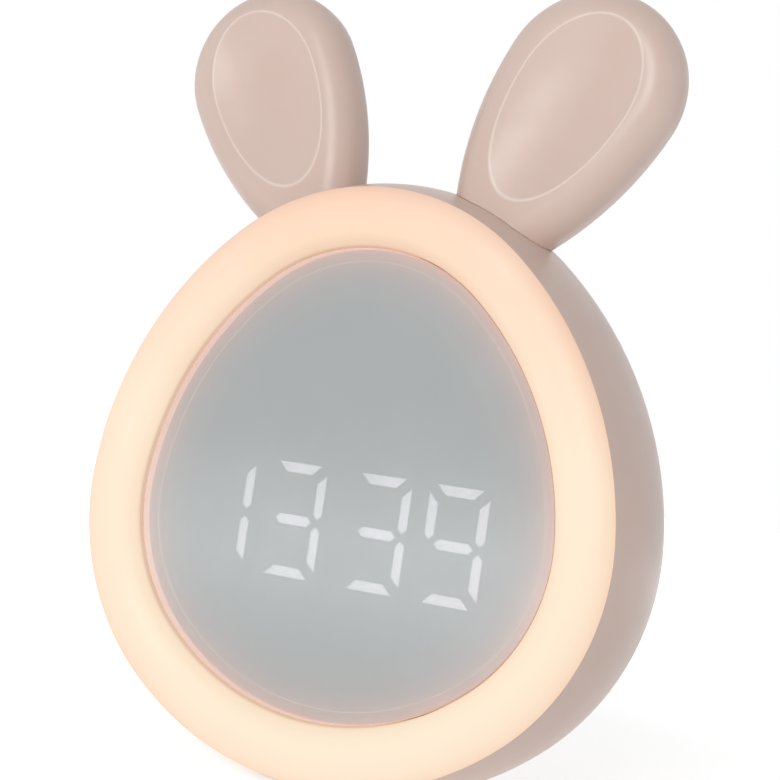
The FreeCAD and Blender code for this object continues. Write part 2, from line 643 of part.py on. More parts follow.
def facing_box(label, centre_x, centre_z, width, height, front, deep):
    """Upright board or block: centre, width and height as seen from the front."""
    low = (f"{centre_x} - ({width}) / 2", front, f"{centre_z} - ({height}) / 2")
    return part_box(label, low, (width, deep, height))


def part_cylinder(label, radius, length, base, turn_axis, angle):
    cylinder = doc.addObject("Part::Cylinder", label)
    cylinder.Label = label
    cylinder.setExpression("Radius", radius)
    cylinder.setExpression("Height", length)
    cylinder.Placement.Rotation = FreeCAD.Rotation(FreeCAD.Vector(*turn_axis), value(angle))
    cylinder.setExpression("Placement.Rotation.Angle", f"({angle}) * 1 deg")
    for name, expression in zip(("x", "y", "z"), base):
        cylinder.setExpression(f"Placement.Base.{name}", expression)
    doc.recompute()
    return cylinder


def facing_cylinder(label, centre_x, centre_z, diameter, front, length):
    """Round piece whose axis runs from front to back."""
    base = (centre_x, front, centre_z)
    return part_cylinder(label, f"({diameter}) / 2", length, base, (1, 0, 0), "-90")


def joined(label, kind, pieces):
    """Boolean or group of other objects: the first is the base of a cut."""
    result = doc.addObject(f"Part::{kind}", label)
    result.Label = label
    if kind == "Compound":
        result.Links = pieces
    elif kind == "MultiFuse":
        result.Shapes = pieces
    else:
        result.Base, result.Tool = pieces
    doc.recompute()
    return result


def ear_point(side, reach):
    """Point on the axis of the right (1) or left (-1) ear, from the centre of the crown arc."""
    across = f"(({reach}) * sin(Dims.ear_tilt) - Dims.ear_shift * cos(Dims.ear_tilt))"
    up = f"({CROWN_LEVEL} + ({reach}) * cos(Dims.ear_tilt) + Dims.ear_shift * sin(Dims.ear_tilt))"
    return f"({side} * {across})", up


def ear_seat(shift):
    """Reach along the ear axis of the seat of a screw head, just inside the housing wall."""
    off_belly = f"(abs({EAR_PLANE} + {shift} - {BELLY}) + Dims.small_screw_head / 2)"
    wall_inside = f"sqrt({INNER_RADIUS} ^ 2 - {off_belly} ^ 2)"
    centre = f"Dims.crown_radius + Dims.bulge - {BELLY_RADIUS}"
    return f"({centre} + {wall_inside} - Dims.ear_screw_head_gap)"


def ear_cylinder(label, side, shift, diameter, start, length):
    """Round piece along the ear axis, shifted from the ear mid plane."""
    x, z = ear_point(side, start)
    base = (x, f"({EAR_PLANE} + {shift})", z)
    return part_cylinder(label, f"({diameter}) / 2", length, base, (0, 1, 0), f"{side} * Dims.ear_tilt")


SIDES = {"left": -1, "right": 1}
HALVES = {"front": -1, "back": 1}
EAR_SHIFTS = {half: f"({sign} * Dims.ear_screw_shift)" for half, sign in HALVES.items()}

# The housing gets a flat base floor, foot recesses and clearance holes for the ear screws
belly = belly_solid("belly", "0")
floor_block = part_box(
    "floor_block",
    ("-Dims.floor_width / 2", f"{BELLY} - Dims.floor_reach", "Dims.foot_proud"),
    ("Dims.floor_width", "2 * Dims.floor_reach", "Dims.floor_thick"),
)
floor = joined("floor", "Common", [belly, floor_block])
floored = joined("floored_housing", "MultiFuse", [housing_shell, floor])
below_base = part_box(
    "below_base",
    ("-Dims.floor_width", f"{RIM} - Dims.bulge_depth", "-Dims.bulge - Dims.foot_proud"),
    ("2 * Dims.floor_width", "4 * Dims.bulge_depth", "Dims.bulge + 2 * Dims.foot_proud"),
)
FOOT_PLACES = [
    (f"({across} * Dims.foot_spread)", f"({BELLY} + {along} * Dims.foot_reach)")
    for across in (-1, 1)
    for along in (-1, 1)
]


def upright_cylinder(label, x, y, diameter, low, length):
    return part_cylinder(label, f"({diameter}) / 2", length, (x, y, low), (0, 0, 1), "0")


foot_recesses = [
    upright_cylinder(
        f"foot_recess_{index}", x, y, "Dims.foot_diameter + 2 * Dims.fit_gap",
        "Dims.foot_proud", "Dims.foot_seat",
    )
    for index, (x, y) in enumerate(FOOT_PLACES)
]
wall_holes = [
    ear_cylinder(
        f"ear_hole_{side}_{half}", sign, shift, "Dims.small_screw + 2 * Dims.shank_gap",
        "Dims.crown_radius - 2 * Dims.wall", "3 * Dims.wall + Dims.bulge",
    )
    for side, sign in SIDES.items()
    for half, shift in EAR_SHIFTS.items()
]
housing_cuts = joined("housing_cuts", "MultiFuse", [below_base, *foot_recesses, *wall_holes])
rear_housing = joined("rear_housing", "Cut", [floored, housing_cuts])

rubber_feet = joined("rubber_feet", "Compound", [
    upright_cylinder(
        f"foot_{index}", x, y, "Dims.foot_diameter", "0", "Dims.foot_proud + Dims.foot_seat",
    )
    for index, (x, y) in enumerate(FOOT_PLACES)
])

# Diffuser ring: domed front, ledge behind the lens and a skirt inside the housing
OUTER_DROP = "(Dims.ring_crown_rise - Dims.ring_edge_rise - Dims.ring_lip)"
INNER_DROP = "(Dims.ring_crown_rise - Dims.ring_inner_lip)"
INNER_RUN = "(Dims.ring_width - Dims.ring_crown_inset)"
CROWN_FRONT = f"({LENS_FRONT} - Dims.ring_crown_rise)"
LEDGE_INSET = "(Dims.ring_width + Dims.ledge_width)"
diffuser_ring = new_body("diffuser_ring")
sweep_round_egg(diffuser_ring, "dome", RIM, [
    (RIM, TOP_LEVEL),
    (f"({RIM} - Dims.ring_lip)", TOP_LEVEL),
    (CROWN_FRONT, inset_level("Dims.ring_crown_inset"),
     f"((Dims.ring_crown_inset ^ 2 + {OUTER_DROP} ^ 2) / (2 * {OUTER_DROP}))", 1),
    (f"({LENS_FRONT} - Dims.ring_inner_lip)", inset_level("Dims.ring_width"),
     f"(({INNER_RUN} ^ 2 + {INNER_DROP} ^ 2) / (2 * {INNER_DROP}))", 1),
    (LEDGE_FRONT, inset_level("Dims.ring_width")),
    (LEDGE_FRONT, inset_level(LEDGE_INSET)),
    (LEDGE_BACK, inset_level(LEDGE_INSET)),
    (LEDGE_BACK, inset_level("Dims.ring_width - Dims.ring_wall")),
    (f"({CROWN_FRONT} + Dims.ring_wall)", inset_level("Dims.ring_width - Dims.ring_wall")),
    (f"({CROWN_FRONT} + Dims.ring_wall)", inset_level(SKIRT_INSIDE)),
    (f"({RIM} + Dims.skirt_depth)", inset_level(SKIRT_INSIDE)),
    (f"({RIM} + Dims.skirt_depth)", inset_level(SKIRT_OUTSIDE)),
    (RIM, inset_level(SKIRT_OUTSIDE)),
])


def egg_plate(label, level, thickness, inset, hole_inset=None):
    """Flat piece with the egg outline, with an egg-shaped opening where one is given."""
    body = new_body(label)
    sketch = facing_sketch(body, "outline", level)
    add_egg(sketch, inset)
    if hole_inset:
        add_egg(sketch, hole_inset)
    pad_back(body, sketch, thickness)
    return body


LENS_BACK = f"({LENS_FRONT} + Dims.lens_thick)"
face_lens = egg_plate("face_lens", LENS_FRONT, "Dims.lens_thick", "Dims.ring_width + Dims.fit_gap")
lens_tape = egg_plate(
    "lens_tape", LENS_BACK, "Dims.tape_thick", "Dims.ring_width + 2 * Dims.fit_gap", LEDGE_INSET
)
display_film = egg_plate(
    "display_film", LENS_BACK, "Dims.film_thick", f"({LEDGE_INSET} + Dims.fit_gap)"
)

# Light frame: holds the ring lights, keeps their light out of the display and carries the posts
CHANNEL_OUT = f"({SKIRT_INSIDE} + Dims.fit_gap + Dims.frame_rim)"
CHANNEL_IN = f"({LEDGE_INSET} - Dims.frame_rim)"
FRAME_FRONT = f"({LENS_FRONT} + Dims.frame_lead)"
light_frame = new_body("light_frame")
rim = facing_sketch(light_frame, "rim", FRAME_FRONT)
add_egg(rim, f"{CHANNEL_OUT} - Dims.frame_rim")
add_egg(rim, CHANNEL_OUT)
pad_back(light_frame, rim, f"{FRAME_BACK} - {FRAME_FRONT}")
base_plate = facing_sketch(light_frame, "plate", FRAME_FLOOR)
add_egg(base_plate, f"{CHANNEL_OUT} - Dims.frame_rim / 2")
pad_back(light_frame, base_plate, "Dims.frame_floor")
inner_wall = facing_sketch(light_frame, "inner_wall", LEDGE_BACK)
add_egg(inner_wall, CHANNEL_IN)
add_egg(inner_wall, LEDGE_INSET)
pad_back(light_frame, inner_wall, f"{FRAME_BACK} - {LEDGE_BACK}")
DISPLAY_SCREW_PLACES = [
    (f"(Dims.digit_middle + {side} * ({BLOCK_WIDTH} / 2 + Dims.board_strip / 2))",
     f"(Dims.digit_level + {rise} * (Dims.display_board_height / 2 - Dims.screw_margin))")
    for rise in (-1, 1)
    for side in (-1, 1)
]
SMALL_BOSS_FRONT = f"({FRAME_BACK} - Dims.small_screw_length)"
display_bosses = facing_sketch(light_frame, "display_bosses", SMALL_BOSS_FRONT)
for place in DISPLAY_SCREW_PLACES:
    add_circle(display_bosses, *place, "Dims.small_boss")
pad_back(light_frame, display_bosses, f"{FRAME_BACK} - {SMALL_BOSS_FRONT}")
posts = facing_sketch(light_frame, "posts", FRAME_FLOOR)
for place in POST_PLACES:
    add_circle(posts, *place, "Dims.post_diameter")
pad_back(light_frame, posts, f"{BOSS_FRONT} - {FRAME_FLOOR}")
window = facing_sketch(light_frame, "window", FRAME_FLOOR)
add_rectangle(
    window, "Dims.digit_middle", "Dims.digit_level",
    f"({BLOCK_WIDTH} + 2 * Dims.fit_gap)", "(Dims.block_height + 2 * Dims.fit_gap)",
)
pocket_back(light_frame, window, "Dims.frame_floor")
SCREW_TIP = f"({HEAD_SEAT} - Dims.screw_length)"
post_bores = facing_sketch(light_frame, "post_bores", f"{SCREW_TIP} - Dims.fit_gap")
for place in POST_PLACES:
    add_circle(post_bores, *place, POST_BORE)
pocket_back(light_frame, post_bores, f"{BOSS_FRONT} - {SCREW_TIP} + Dims.fit_gap")
DISPLAY_SCREW_TIP = f"({DISPLAY_BACK} - Dims.small_screw_length)"
display_bores = facing_sketch(light_frame, "display_bores", f"{DISPLAY_SCREW_TIP} - Dims.fit_gap")
for place in DISPLAY_SCREW_PLACES:
    add_circle(display_bores, *place, SMALL_BORE)
pocket_back(light_frame, display_bores, f"{FRAME_BACK} - {DISPLAY_SCREW_TIP} + Dims.fit_gap")

# Ring of lights on its annular board
ring_led_board = egg_plate(
    "ring_led_board", LED_BOARD_FRONT, "Dims.led_board_thick",
    f"({CHANNEL_OUT} + Dims.fit_gap)", f"({CHANNEL_IN} - Dims.fit_gap)",
)


def egg_places(inset, count):
    """Evenly spaced places along the egg outline: X, level and the outward direction."""
    arcs = egg_arcs(inset)
    lengths = [radius * math.radians(end - start) for _, radius, start, end in arcs]
    step = sum(lengths) / count
    places = []
    for index in range(count):
        distance = (index + 0.5) * step
        for (centre, radius, start, _), length in zip(arcs, lengths):
            if distance <= length:
                break
            distance -= length
        angle = math.radians(start) + distance / radius
        outward = FreeCAD.Vector(math.sin(angle), 0, math.cos(angle))
        places.append((FreeCAD.Vector(centre[0], 0, centre[1]) + outward * radius, math.degrees(angle)))
    return places


def feature(label, shape):
    """Object with a computed shape."""
    item = doc.addObject("Part::Feature", label)
    item.Label = label
    item.Shape = shape
    item.Placement = FreeCAD.Placement()
    return item


def package(length, deep, width):
    """Chip package with its middle on the origin and its front face at Y = 0."""
    return Part.makeBox(length, deep, width, FreeCAD.Vector(-length / 2, 0, -width / 2))


ring_packages = []
for middle, turn in egg_places(f"(({CHANNEL_OUT} + {CHANNEL_IN}) / 2)", int(value("Dims.led_count"))):
    light = package(value("Dims.led_length"), value("Dims.led_thick"), value("Dims.led_width"))
    middle.y = value(f"{LED_BOARD_FRONT} - Dims.led_thick")
    light.Placement = FreeCAD.Placement(middle, FreeCAD.Rotation(FreeCAD.Vector(0, 1, 0), turn))
    ring_packages.append(light)
ring_leds = feature("ring_leds", Part.makeCompound(ring_packages))

# Four seven-segment digits: windows in the front of a white block, chips on the board behind it
DIGIT_OFFSETS = [
    f"(Dims.digit_middle + {side} * ({pair} * Dims.digit_pitch + Dims.pair_pitch / 2))"
    for side, pair in ((-1, 1), (-1, 0), (1, 0), (1, 1))
]
# A segment is given by its place in the digit: across and up from the middle, in half widths and
# half heights. The ones to the side of the middle stand upright.
SEGMENTS = [(0, 1), (0, 0), (0, -1), (-1, 0.5), (1, 0.5), (-1, -0.5), (1, -0.5)]


def segment_shape(across, rise, deep):
    """Bar of a digit: mitred at the corners of the digit, pointed where it meets the middle."""
    half_stroke = value("Dims.segment_width / 2")
    if across:
        length = "Dims.digit_height / 2 - Dims.upright_gap"
    else:
        length = f"Dims.digit_width - Dims.{'corner' if rise else 'middle'}_gap"
    half_length = value(f"({length}) / 2")
    shoulder = half_length - half_stroke
    mitred = [(half_length, half_stroke), (shoulder - half_stroke, -half_stroke)]
    pointed = [(shoulder, half_stroke), (half_length, 0), (shoulder, -half_stroke)]
    far = mitred if rise else pointed
    near = pointed if across else far
    outline = far + [(-along, outward) for along, outward in reversed(near)]
    turned = math.copysign(1, rise)
    if across:
        corners = [FreeCAD.Vector(outward * across, 0, along * turned) for along, outward in outline]
    else:
        corners = [FreeCAD.Vector(along, 0, outward * turned) for along, outward in outline]
    face = Part.Face(Part.makePolygon(corners + corners[:1]))
    return face.extrude(FreeCAD.Vector(0, deep, 0))


def segment_group(make_shape, front):
    shapes = []
    for offset in DIGIT_OFFSETS:
        for across, rise in SEGMENTS:
            shape = make_shape(across, rise)
            place = FreeCAD.Vector(
                value(f"{offset} + {across} * Dims.digit_width / 2"),
                value(front),
                value(f"Dims.digit_level + {rise} * Dims.digit_height / 2"),
            )
            shape.Placement = FreeCAD.Placement(place, FreeCAD.Rotation())
            shapes.append(shape)
    return Part.makeCompound(shapes)


def segment_bars(deep):
    return segment_group(lambda across, rise: segment_shape(across, rise, value(deep)), BLOCK_FRONT)


def segment_chip(across, rise):
    """Light chip behind a segment, turned with it."""
    length, width = value("Dims.chip_length"), value("Dims.chip_width")
    return package(width if across else length, value("Dims.chip_thick"), length if across else width)


segment_windows = feature("segment_windows", segment_bars("Dims.segment_deep"))
light_wells = feature("light_wells", segment_bars(f"{FRAME_BACK} - {BLOCK_FRONT}"))
block_blank = facing_box(
    "block_blank", "Dims.digit_middle", "Dims.digit_level", BLOCK_WIDTH, "Dims.block_height",
    BLOCK_FRONT, f"{FRAME_BACK} - {BLOCK_FRONT}",
)
digit_block = joined("digit_block", "Cut", [block_blank, light_wells])
segment_leds = feature("segment_leds", segment_group(segment_chip, f"({FRAME_BACK} - Dims.chip_thick)"))


def drilled_board(label, middle, width, height, front, deep, places, bore):
    body = new_body(label)
    sketch = facing_sketch(body, "outline", front)
    add_rectangle(sketch, *middle, width, height)
    for place in places:
        add_circle(sketch, *place, bore)
    pad_back(body, sketch, deep)
    return body


BOARD_BORE = "(Dims.small_screw + 2 * Dims.shank_gap)"
display_board = drilled_board(
    "display_board", ("Dims.digit_middle", "Dims.digit_level"), DISPLAY_BOARD_WIDTH,
    "Dims.display_board_height", FRAME_BACK, "Dims.board_thick", DISPLAY_SCREW_PLACES, BOARD_BORE,
)
main_board = drilled_board(
    "main_board", ("0", "Dims.main_board_level"), "Dims.main_board_width",
    "Dims.main_board_height", MAIN_FRONT, "Dims.main_board_thick", BOARD_SCREW_PLACES, BOARD_BORE,
)

# Battery cell on foam tape behind the display board
battery_tape = facing_box(
    "battery_tape", "0", "Dims.digit_level", "Dims.battery_width", "Dims.battery_height",
    DISPLAY_BACK, "Dims.battery_tape_thick",
)


def rounded_block(label, centre_x, centre_z, size, front, deep, rounding):
    """Block with its front-to-back edges rounded."""
    body = new_body(label)
    sketch = facing_sketch(body, "outline", front)
    add_rectangle(sketch, centre_x, centre_z, *size)
    pad = pad_back(body, sketch, deep)
    edges = [
        f"Edge{index}"
        for index, edge in enumerate(pad.Shape.Edges, start=1)
        if abs(edge.tangentAt(edge.FirstParameter).y) > 0.99
    ]
    fillet = body.newObject("PartDesign::Fillet", f"{label}_rounding")
    fillet.Base = (pad, edges)
    fillet.setExpression("Radius", rounding)
    return finish_feature(body, fillet)


rounded_block(
    "battery", "0", "Dims.digit_level", ("Dims.battery_width", "Dims.battery_height"),
    f"{DISPLAY_BACK} + Dims.battery_tape_thick", "Dims.battery_thick", "Dims.battery_rounding",
)

# Speaker behind the grille, on a foam gasket, inside the collar of the housing
GASKET_FRONT = f"({BACK_INNER} - Dims.gasket_thick)"
speaker_gasket = new_body("speaker_gasket")
gasket = facing_sketch(speaker_gasket, "outline", GASKET_FRONT)
add_circle(gasket, "0", "Dims.speaker_level", "Dims.speaker_diameter")
add_circle(gasket, "0", "Dims.speaker_level", "Dims.speaker_diameter - 2 * Dims.gasket_width")
pad_back(speaker_gasket, gasket, "Dims.gasket_thick")
speaker = new_body("speaker")
basket = facing_sketch(speaker, "basket", f"({GASKET_FRONT} - Dims.basket_thick)")
add_circle(basket, "0", "Dims.speaker_level", "Dims.speaker_diameter")
pad_back(speaker, basket, "Dims.basket_thick")
magnet = facing_sketch(speaker, "magnet", f"({GASKET_FRONT} - Dims.speaker_thick)")
add_circle(magnet, "0", "Dims.speaker_level", "Dims.magnet_diameter")
pad_back(speaker, magnet, "Dims.speaker_thick - Dims.basket_thick")

# Five sprung keys, each over the plunger of its tact switch
key_bodies = []
for name, offset in zip(KEY_NAMES, KEY_OFFSETS):
    key = new_body(f"{name}_key")
    flange = facing_sketch(key, "flange", KEY_SEAT)
    add_circle(flange, offset, "Dims.key_level", "Dims.key_flange")
    pad_back(key, flange, "Dims.key_flange_thick")
    cap = facing_sketch(key, "cap", BACK_INNER)
    add_circle(cap, offset, "Dims.key_level", "Dims.key_diameter")
    pad = pad_back(key, cap, "Dims.wall + Dims.key_proud")
    rim_edges = [
        f"Edge{index}"
        for index, edge in enumerate(pad.Shape.Edges, start=1)
        if abs(edge.CenterOfMass.y - value("Dims.depth / 2")) < 1e-6
    ]
    rounding = key.newObject("PartDesign::Fillet", f"{name}_key_rounding")
    rounding.Base = (pad, rim_edges)
    rounding.setExpression("Radius", "Dims.key_rounding")
    finish_feature(key, rounding)
    facing_cylinder(
        f"{name}_plunger", offset, "Dims.key_level", "Dims.plunger_diameter",
        f"({SWITCH_TOP} - Dims.plunger_root)", "Dims.plunger_proud + Dims.plunger_root",
    )

switch_bodies = []
for name, offset in zip(KEY_NAMES, KEY_OFFSETS):
    block = facing_box(
        f"{name}_switch_block", offset, "Dims.key_level", "Dims.switch_side", "Dims.switch_side",
        MAIN_BACK, "Dims.switch_height",
    )
    bore = facing_cylinder(
        f"{name}_switch_bore", offset, "Dims.key_level",
        "Dims.plunger_diameter + 2 * Dims.plunger_gap",
        f"({SWITCH_TOP} - Dims.plunger_root - Dims.key_travel - Dims.fit_gap)",
        "Dims.plunger_root + Dims.key_travel + 2 * Dims.fit_gap",
    )
    switch_bodies.append(joined(f"{name}_switch", "Cut", [block, bore]))
key_switches = joined("key_switches", "Compound", switch_bodies)

# Slide switch at the left end of its stroke
TONGUE_FRONT = f"({SWITCH_TOP} - Dims.tongue_deep)"
SLIDER_LEFT = "(Dims.slider_offset - Dims.slider_travel / 2)"
slide_switch = new_body("slide_switch_body")
slide_case = facing_sketch(slide_switch, "case", MAIN_BACK)
add_rectangle(
    slide_case, "Dims.slider_offset", "Dims.port_level",
    "Dims.slider_body_width", "Dims.slider_body_height",
)
pad_back(slide_switch, slide_case, "Dims.switch_height")
slide_groove = facing_sketch(slide_switch, "groove", f"({TONGUE_FRONT} - Dims.fit_gap)")
add_rectangle(
    slide_groove, "Dims.slider_offset", "Dims.port_level",
    "(Dims.tongue_width + Dims.slider_travel + 2 * Dims.fit_gap)",
    "(Dims.tongue_height + 2 * Dims.fit_gap)",
)
pocket_back(slide_switch, slide_groove, "Dims.tongue_deep + Dims.fit_gap")
slide_knob = new_body("slide_switch_knob")
knob_tongue = facing_sketch(slide_knob, "tongue", TONGUE_FRONT)
add_rectangle(knob_tongue, SLIDER_LEFT, "Dims.port_level", "Dims.tongue_width", "Dims.tongue_height")
pad_back(slide_knob, knob_tongue, "Dims.tongue_deep")
knob_block = facing_sketch(slide_knob, "block", SWITCH_TOP)
add_rectangle(
    knob_block, SLIDER_LEFT, "Dims.port_level", "Dims.slider_knob_width", "Dims.slider_knob_height",
)
pad_back(slide_knob, knob_block, f"{BACK_FACE} + Dims.slider_proud - {SWITCH_TOP}")

# Charging socket: a metal shell standing on the main board, open to the back, with its tongue
PORT_BACK = f"({BACK_FACE} - Dims.port_recess)"
usb_socket = new_body("usb_socket")
port_shell = facing_sketch(usb_socket, "shell", MAIN_BACK)
add_rectangle(port_shell, "0", "Dims.port_level", "Dims.port_width", "Dims.port_height")
pad_back(usb_socket, port_shell, f"{PORT_BACK} - {MAIN_BACK}")
port_mouth = facing_sketch(usb_socket, "mouth", f"({MAIN_BACK} + Dims.port_floor)")
add_rectangle(
    port_mouth, "0", "Dims.port_level",
    "(Dims.port_width - 2 * Dims.port_wall)", "(Dims.port_height - 2 * Dims.port_wall)",
)
pocket_back(usb_socket, port_mouth, f"{PORT_BACK} - {MAIN_BACK} - Dims.port_floor")
port_tongue = facing_sketch(usb_socket, "tongue", MAIN_BACK)
add_rectangle(port_tongue, "0", "Dims.port_level", "Dims.port_tongue_width", "Dims.port_tongue_height")
pad_back(usb_socket, port_tongue, f"{PORT_BACK} - {MAIN_BACK} - 2 * Dims.port_recess")

# Parts on the front of the main board
controller_chip = facing_box(
    "controller_chip", "0", "Dims.main_board_level", "Dims.controller_side", "Dims.controller_side",
    f"({MAIN_FRONT} - Dims.controller_thick)", "Dims.controller_thick",
)
clock_crystal = facing_box(
    "clock_crystal", "(Dims.controller_side + Dims.crystal_width) / 2 + Dims.crystal_gap",
    "Dims.main_board_level", "Dims.crystal_width", "Dims.crystal_length",
    f"({MAIN_FRONT} - Dims.crystal_width)", "Dims.crystal_width",
)
lead_connectors = joined("lead_connectors", "Compound", [
    facing_box(
        f"lead_connector_{index}", f"{side} * Dims.connector_offset", "Dims.main_board_level",
        "Dims.connector_width", "Dims.connector_height",
        f"({MAIN_FRONT} - Dims.connector_deep)", "Dims.connector_deep",
    )
    for index, side in enumerate((-1, 1))
])


# Ears: a front and a back half, hollow, parted at the ear mid plane
def add_ear_outline(sketch, inset, tail):
    """Ear outline about the centre of its round tip, with straight lower end."""
    tip = f"(Dims.ear_tip_radius - {inset})"
    flank = f"(Dims.ear_side_radius - {inset})"
    foot = f"(Dims.ear_tip_radius - Dims.ear_side_radius + sqrt({flank} ^ 2 - {tail} ^ 2))"
    add_profile(sketch, [
        (foot, f"-{tail}"),
        (tip, "0", flank, 1),
        ("0", tip, tip, 1),
        (f"-{tip}", "0", tip, 1),
        (f"-{foot}", f"-{tail}", flank, 1),
    ])


def ear_half(side_name, half_name):
    """Half of an ear in its own upright frame, then leaned to its side."""
    forward = half_name == "front"
    body = new_body(f"ear_{half_name}_{side_name}_blank")
    outline = new_sketch(body, "XZ_Plane", "outline")
    add_ear_outline(outline, "0", "Dims.ear_tail")
    grow, sink = (pad_front, pocket_front) if forward else (pad_back, pocket_back)
    pad = grow(body, outline, "Dims.ear_half_thick")
    face_depth = value("Dims.ear_half_thick") * (-1 if forward else 1)
    tail = -value("Dims.ear_tail")
    edges = [
        f"Edge{index}"
        for index, edge in enumerate(pad.Shape.Edges, start=1)
        if all(abs(vertex.Point.y - face_depth) < 1e-6 for vertex in edge.Vertexes)
        and edge.CenterOfMass.z > tail + 1e-3
    ]
    fillet = body.newObject("PartDesign::Fillet", f"{body.Name}_rounding")
    fillet.Base = (pad, edges)
    fillet.setExpression("Radius", "Dims.ear_rounding")
    finish_feature(body, fillet)
    hollow = new_sketch(body, "XZ_Plane", "hollow")
    add_ear_outline(hollow, "Dims.ear_wall", "(Dims.ear_tail - Dims.ear_root)")
    skin = "Dims.ear_skin + Dims.dish_depth" if forward else "Dims.ear_skin"
    sink(body, hollow, f"Dims.ear_half_thick - ({skin})")
    if forward:
        dish_radius = "((Dims.dish_half_width ^ 2 + Dims.dish_depth ^ 2) / (2 * Dims.dish_depth))"
        dish = new_sketch(body, "YZ_Plane", "dish")
        dish.setExpression(
            ".AttachmentOffset.Base.x", f"-(Dims.ear_half_thick + {dish_radius} - Dims.dish_depth)"
        )
        shallow = f"({dish_radius} - Dims.dish_depth)"
        arcs = [
            f"(({reach} ^ 2 + Dims.dish_depth ^ 2) / (2 * Dims.dish_depth))"
            for reach in ("Dims.dish_fall", "Dims.dish_rise")
        ]
        add_profile(dish, [
            ("0", "-Dims.dish_drop - Dims.dish_fall"),
            (shallow, "-Dims.dish_drop - Dims.dish_fall"),
            (dish_radius, "-Dims.dish_drop", arcs[0], 1),
            (shallow, "-Dims.dish_drop + Dims.dish_rise", arcs[1], 1),
            ("0", "-Dims.dish_drop + Dims.dish_rise"),
        ])
        before = body.Tip.Shape.Volume
        groove = body.newObject("PartDesign::Groove", f"{body.Name}_dish_groove")
        groove.Profile = dish
        groove.ReferenceAxis = (dish, ["V_Axis"])
        groove.Angle = 360.0
        finish_feature(body, groove)
        assert groove.Shape.Volume < before, groove.Name
    side = SIDES[side_name]
    x, z = ear_point(side, "(Dims.crown_radius + Dims.ear_length - Dims.ear_tip_radius)")
    body.Placement.Rotation = FreeCAD.Rotation(FreeCAD.Vector(0, 1, 0), side * value("Dims.ear_tilt"))
    body.setExpression("Placement.Rotation.Angle", f"{side} * Dims.ear_tilt * 1 deg")
    body.setExpression("Placement.Base.x", x)
    body.setExpression("Placement.Base.y", EAR_PLANE)
    body.setExpression("Placement.Base.z", z)
    doc.recompute()
    return body


seat_belly = belly_solid("seat_belly", "Dims.ear_seat_gap")
for side_name, side in SIDES.items():
    for half_name, shift in EAR_SHIFTS.items():
        blank = ear_half(side_name, half_name)
        bore = ear_cylinder(
            f"ear_bore_{side_name}_{half_name}", side, shift, SMALL_BORE,
            ear_seat(shift), "Dims.small_screw_length + Dims.fit_gap",
        )
        tools = joined(f"ear_tools_{side_name}_{half_name}", "MultiFuse", [seat_belly, bore])
        joined(f"ear_{half_name}_{side_name}", "Cut", [blank, tools])


# Fasteners
def screw_shape(thread, length, head, head_thick):
    """Pan head screw with a cross recess; the shank runs from the origin along -Y."""
    shank = Part.makeCylinder(thread / 2, length, FreeCAD.Vector(0, 0, 0), FreeCAD.Vector(0, -1, 0))
    pan = Part.makeCylinder(head / 2, head_thick, FreeCAD.Vector(0, 0, 0), FreeCAD.Vector(0, 1, 0))
    rim_edges = [edge for edge in pan.Edges if abs(edge.CenterOfMass.y - head_thick) < 1e-6]
    pan = pan.makeChamfer(head_thick * value("Dims.head_chamfer"), rim_edges)
    slot_long, slot_wide = (head * value(f"Dims.recess_{name}") for name in ("length", "width"))
    slot_deep = head_thick * value("Dims.recess_depth")
    for length_x, length_z in ((slot_long, slot_wide), (slot_wide, slot_long)):
        corner = FreeCAD.Vector(-length_x / 2, head_thick - slot_deep, -length_z / 2)
        pan = pan.cut(Part.makeBox(length_x, slot_deep, length_z, corner))
    return shank.fuse(pan).removeSplitter()


def screw_group(label, places, seat, size, backwards=False):
    """Screws from behind; with backwards set, they are driven from the front instead."""
    shapes = []
    for x, z in places:
        screw = screw_shape(*size)
        turn = FreeCAD.Rotation(FreeCAD.Vector(0, 0, 1), 180 if backwards else 0)
        screw.Placement = FreeCAD.Placement(FreeCAD.Vector(value(x), value(seat), value(z)), turn)
        shapes.append(screw)
    return feature(label, Part.makeCompound(shapes))


CASE_SCREW = [
    value(f"Dims.{name}")
    for name in ("screw_diameter", "screw_length", "screw_head", "screw_head_thick")
]
SMALL_SCREW = [
    value(f"Dims.{name}")
    for name in ("small_screw", "small_screw_length", "small_screw_head", "small_screw_head_thick")
]
screw_group("case_screws", POST_PLACES, HEAD_SEAT, CASE_SCREW)
screw_group("display_screws", DISPLAY_SCREW_PLACES, DISPLAY_BACK, SMALL_SCREW)
screw_group("board_screws", BOARD_SCREW_PLACES, MAIN_FRONT, SMALL_SCREW, backwards=True)
ear_screws = []
for side in SIDES.values():
    for shift in EAR_SHIFTS.values():
        screw = screw_shape(*SMALL_SCREW)
        lean = FreeCAD.Rotation(FreeCAD.Vector(0, 1, 0), side * value("Dims.ear_tilt"))
        upward = FreeCAD.Rotation(FreeCAD.Vector(1, 0, 0), -90)
        x, z = ear_point(side, ear_seat(shift))
        place = FreeCAD.Vector(value(x), value(f"{EAR_PLANE} + {shift}"), value(z))
        screw.Placement = FreeCAD.Placement(place, lean.multiply(upward))
        ear_screws.append(screw)
feature("ear_screws", Part.makeCompound(ear_screws))

NODES = [
    "rear_housing", "rubber_feet", "diffuser_ring", "face_lens", "lens_tape", "display_film",
    "light_frame", "ring_led_board", "ring_leds", "segment_windows", "digit_block", "segment_leds",
    "display_board", "main_board", "battery_tape", "battery", "speaker_gasket", "speaker",
    *(f"{name}_key" for name in KEY_NAMES),
    *(f"{name}_plunger" for name in KEY_NAMES),
    "key_switches", "slide_switch_body", "slide_switch_knob", "usb_socket",
    "controller_chip", "clock_crystal", "lead_connectors",
    *(f"ear_{half}_{side}" for side in SIDES for half in HALVES),
    "ear_screws", "case_screws", "display_screws", "board_screws",
]

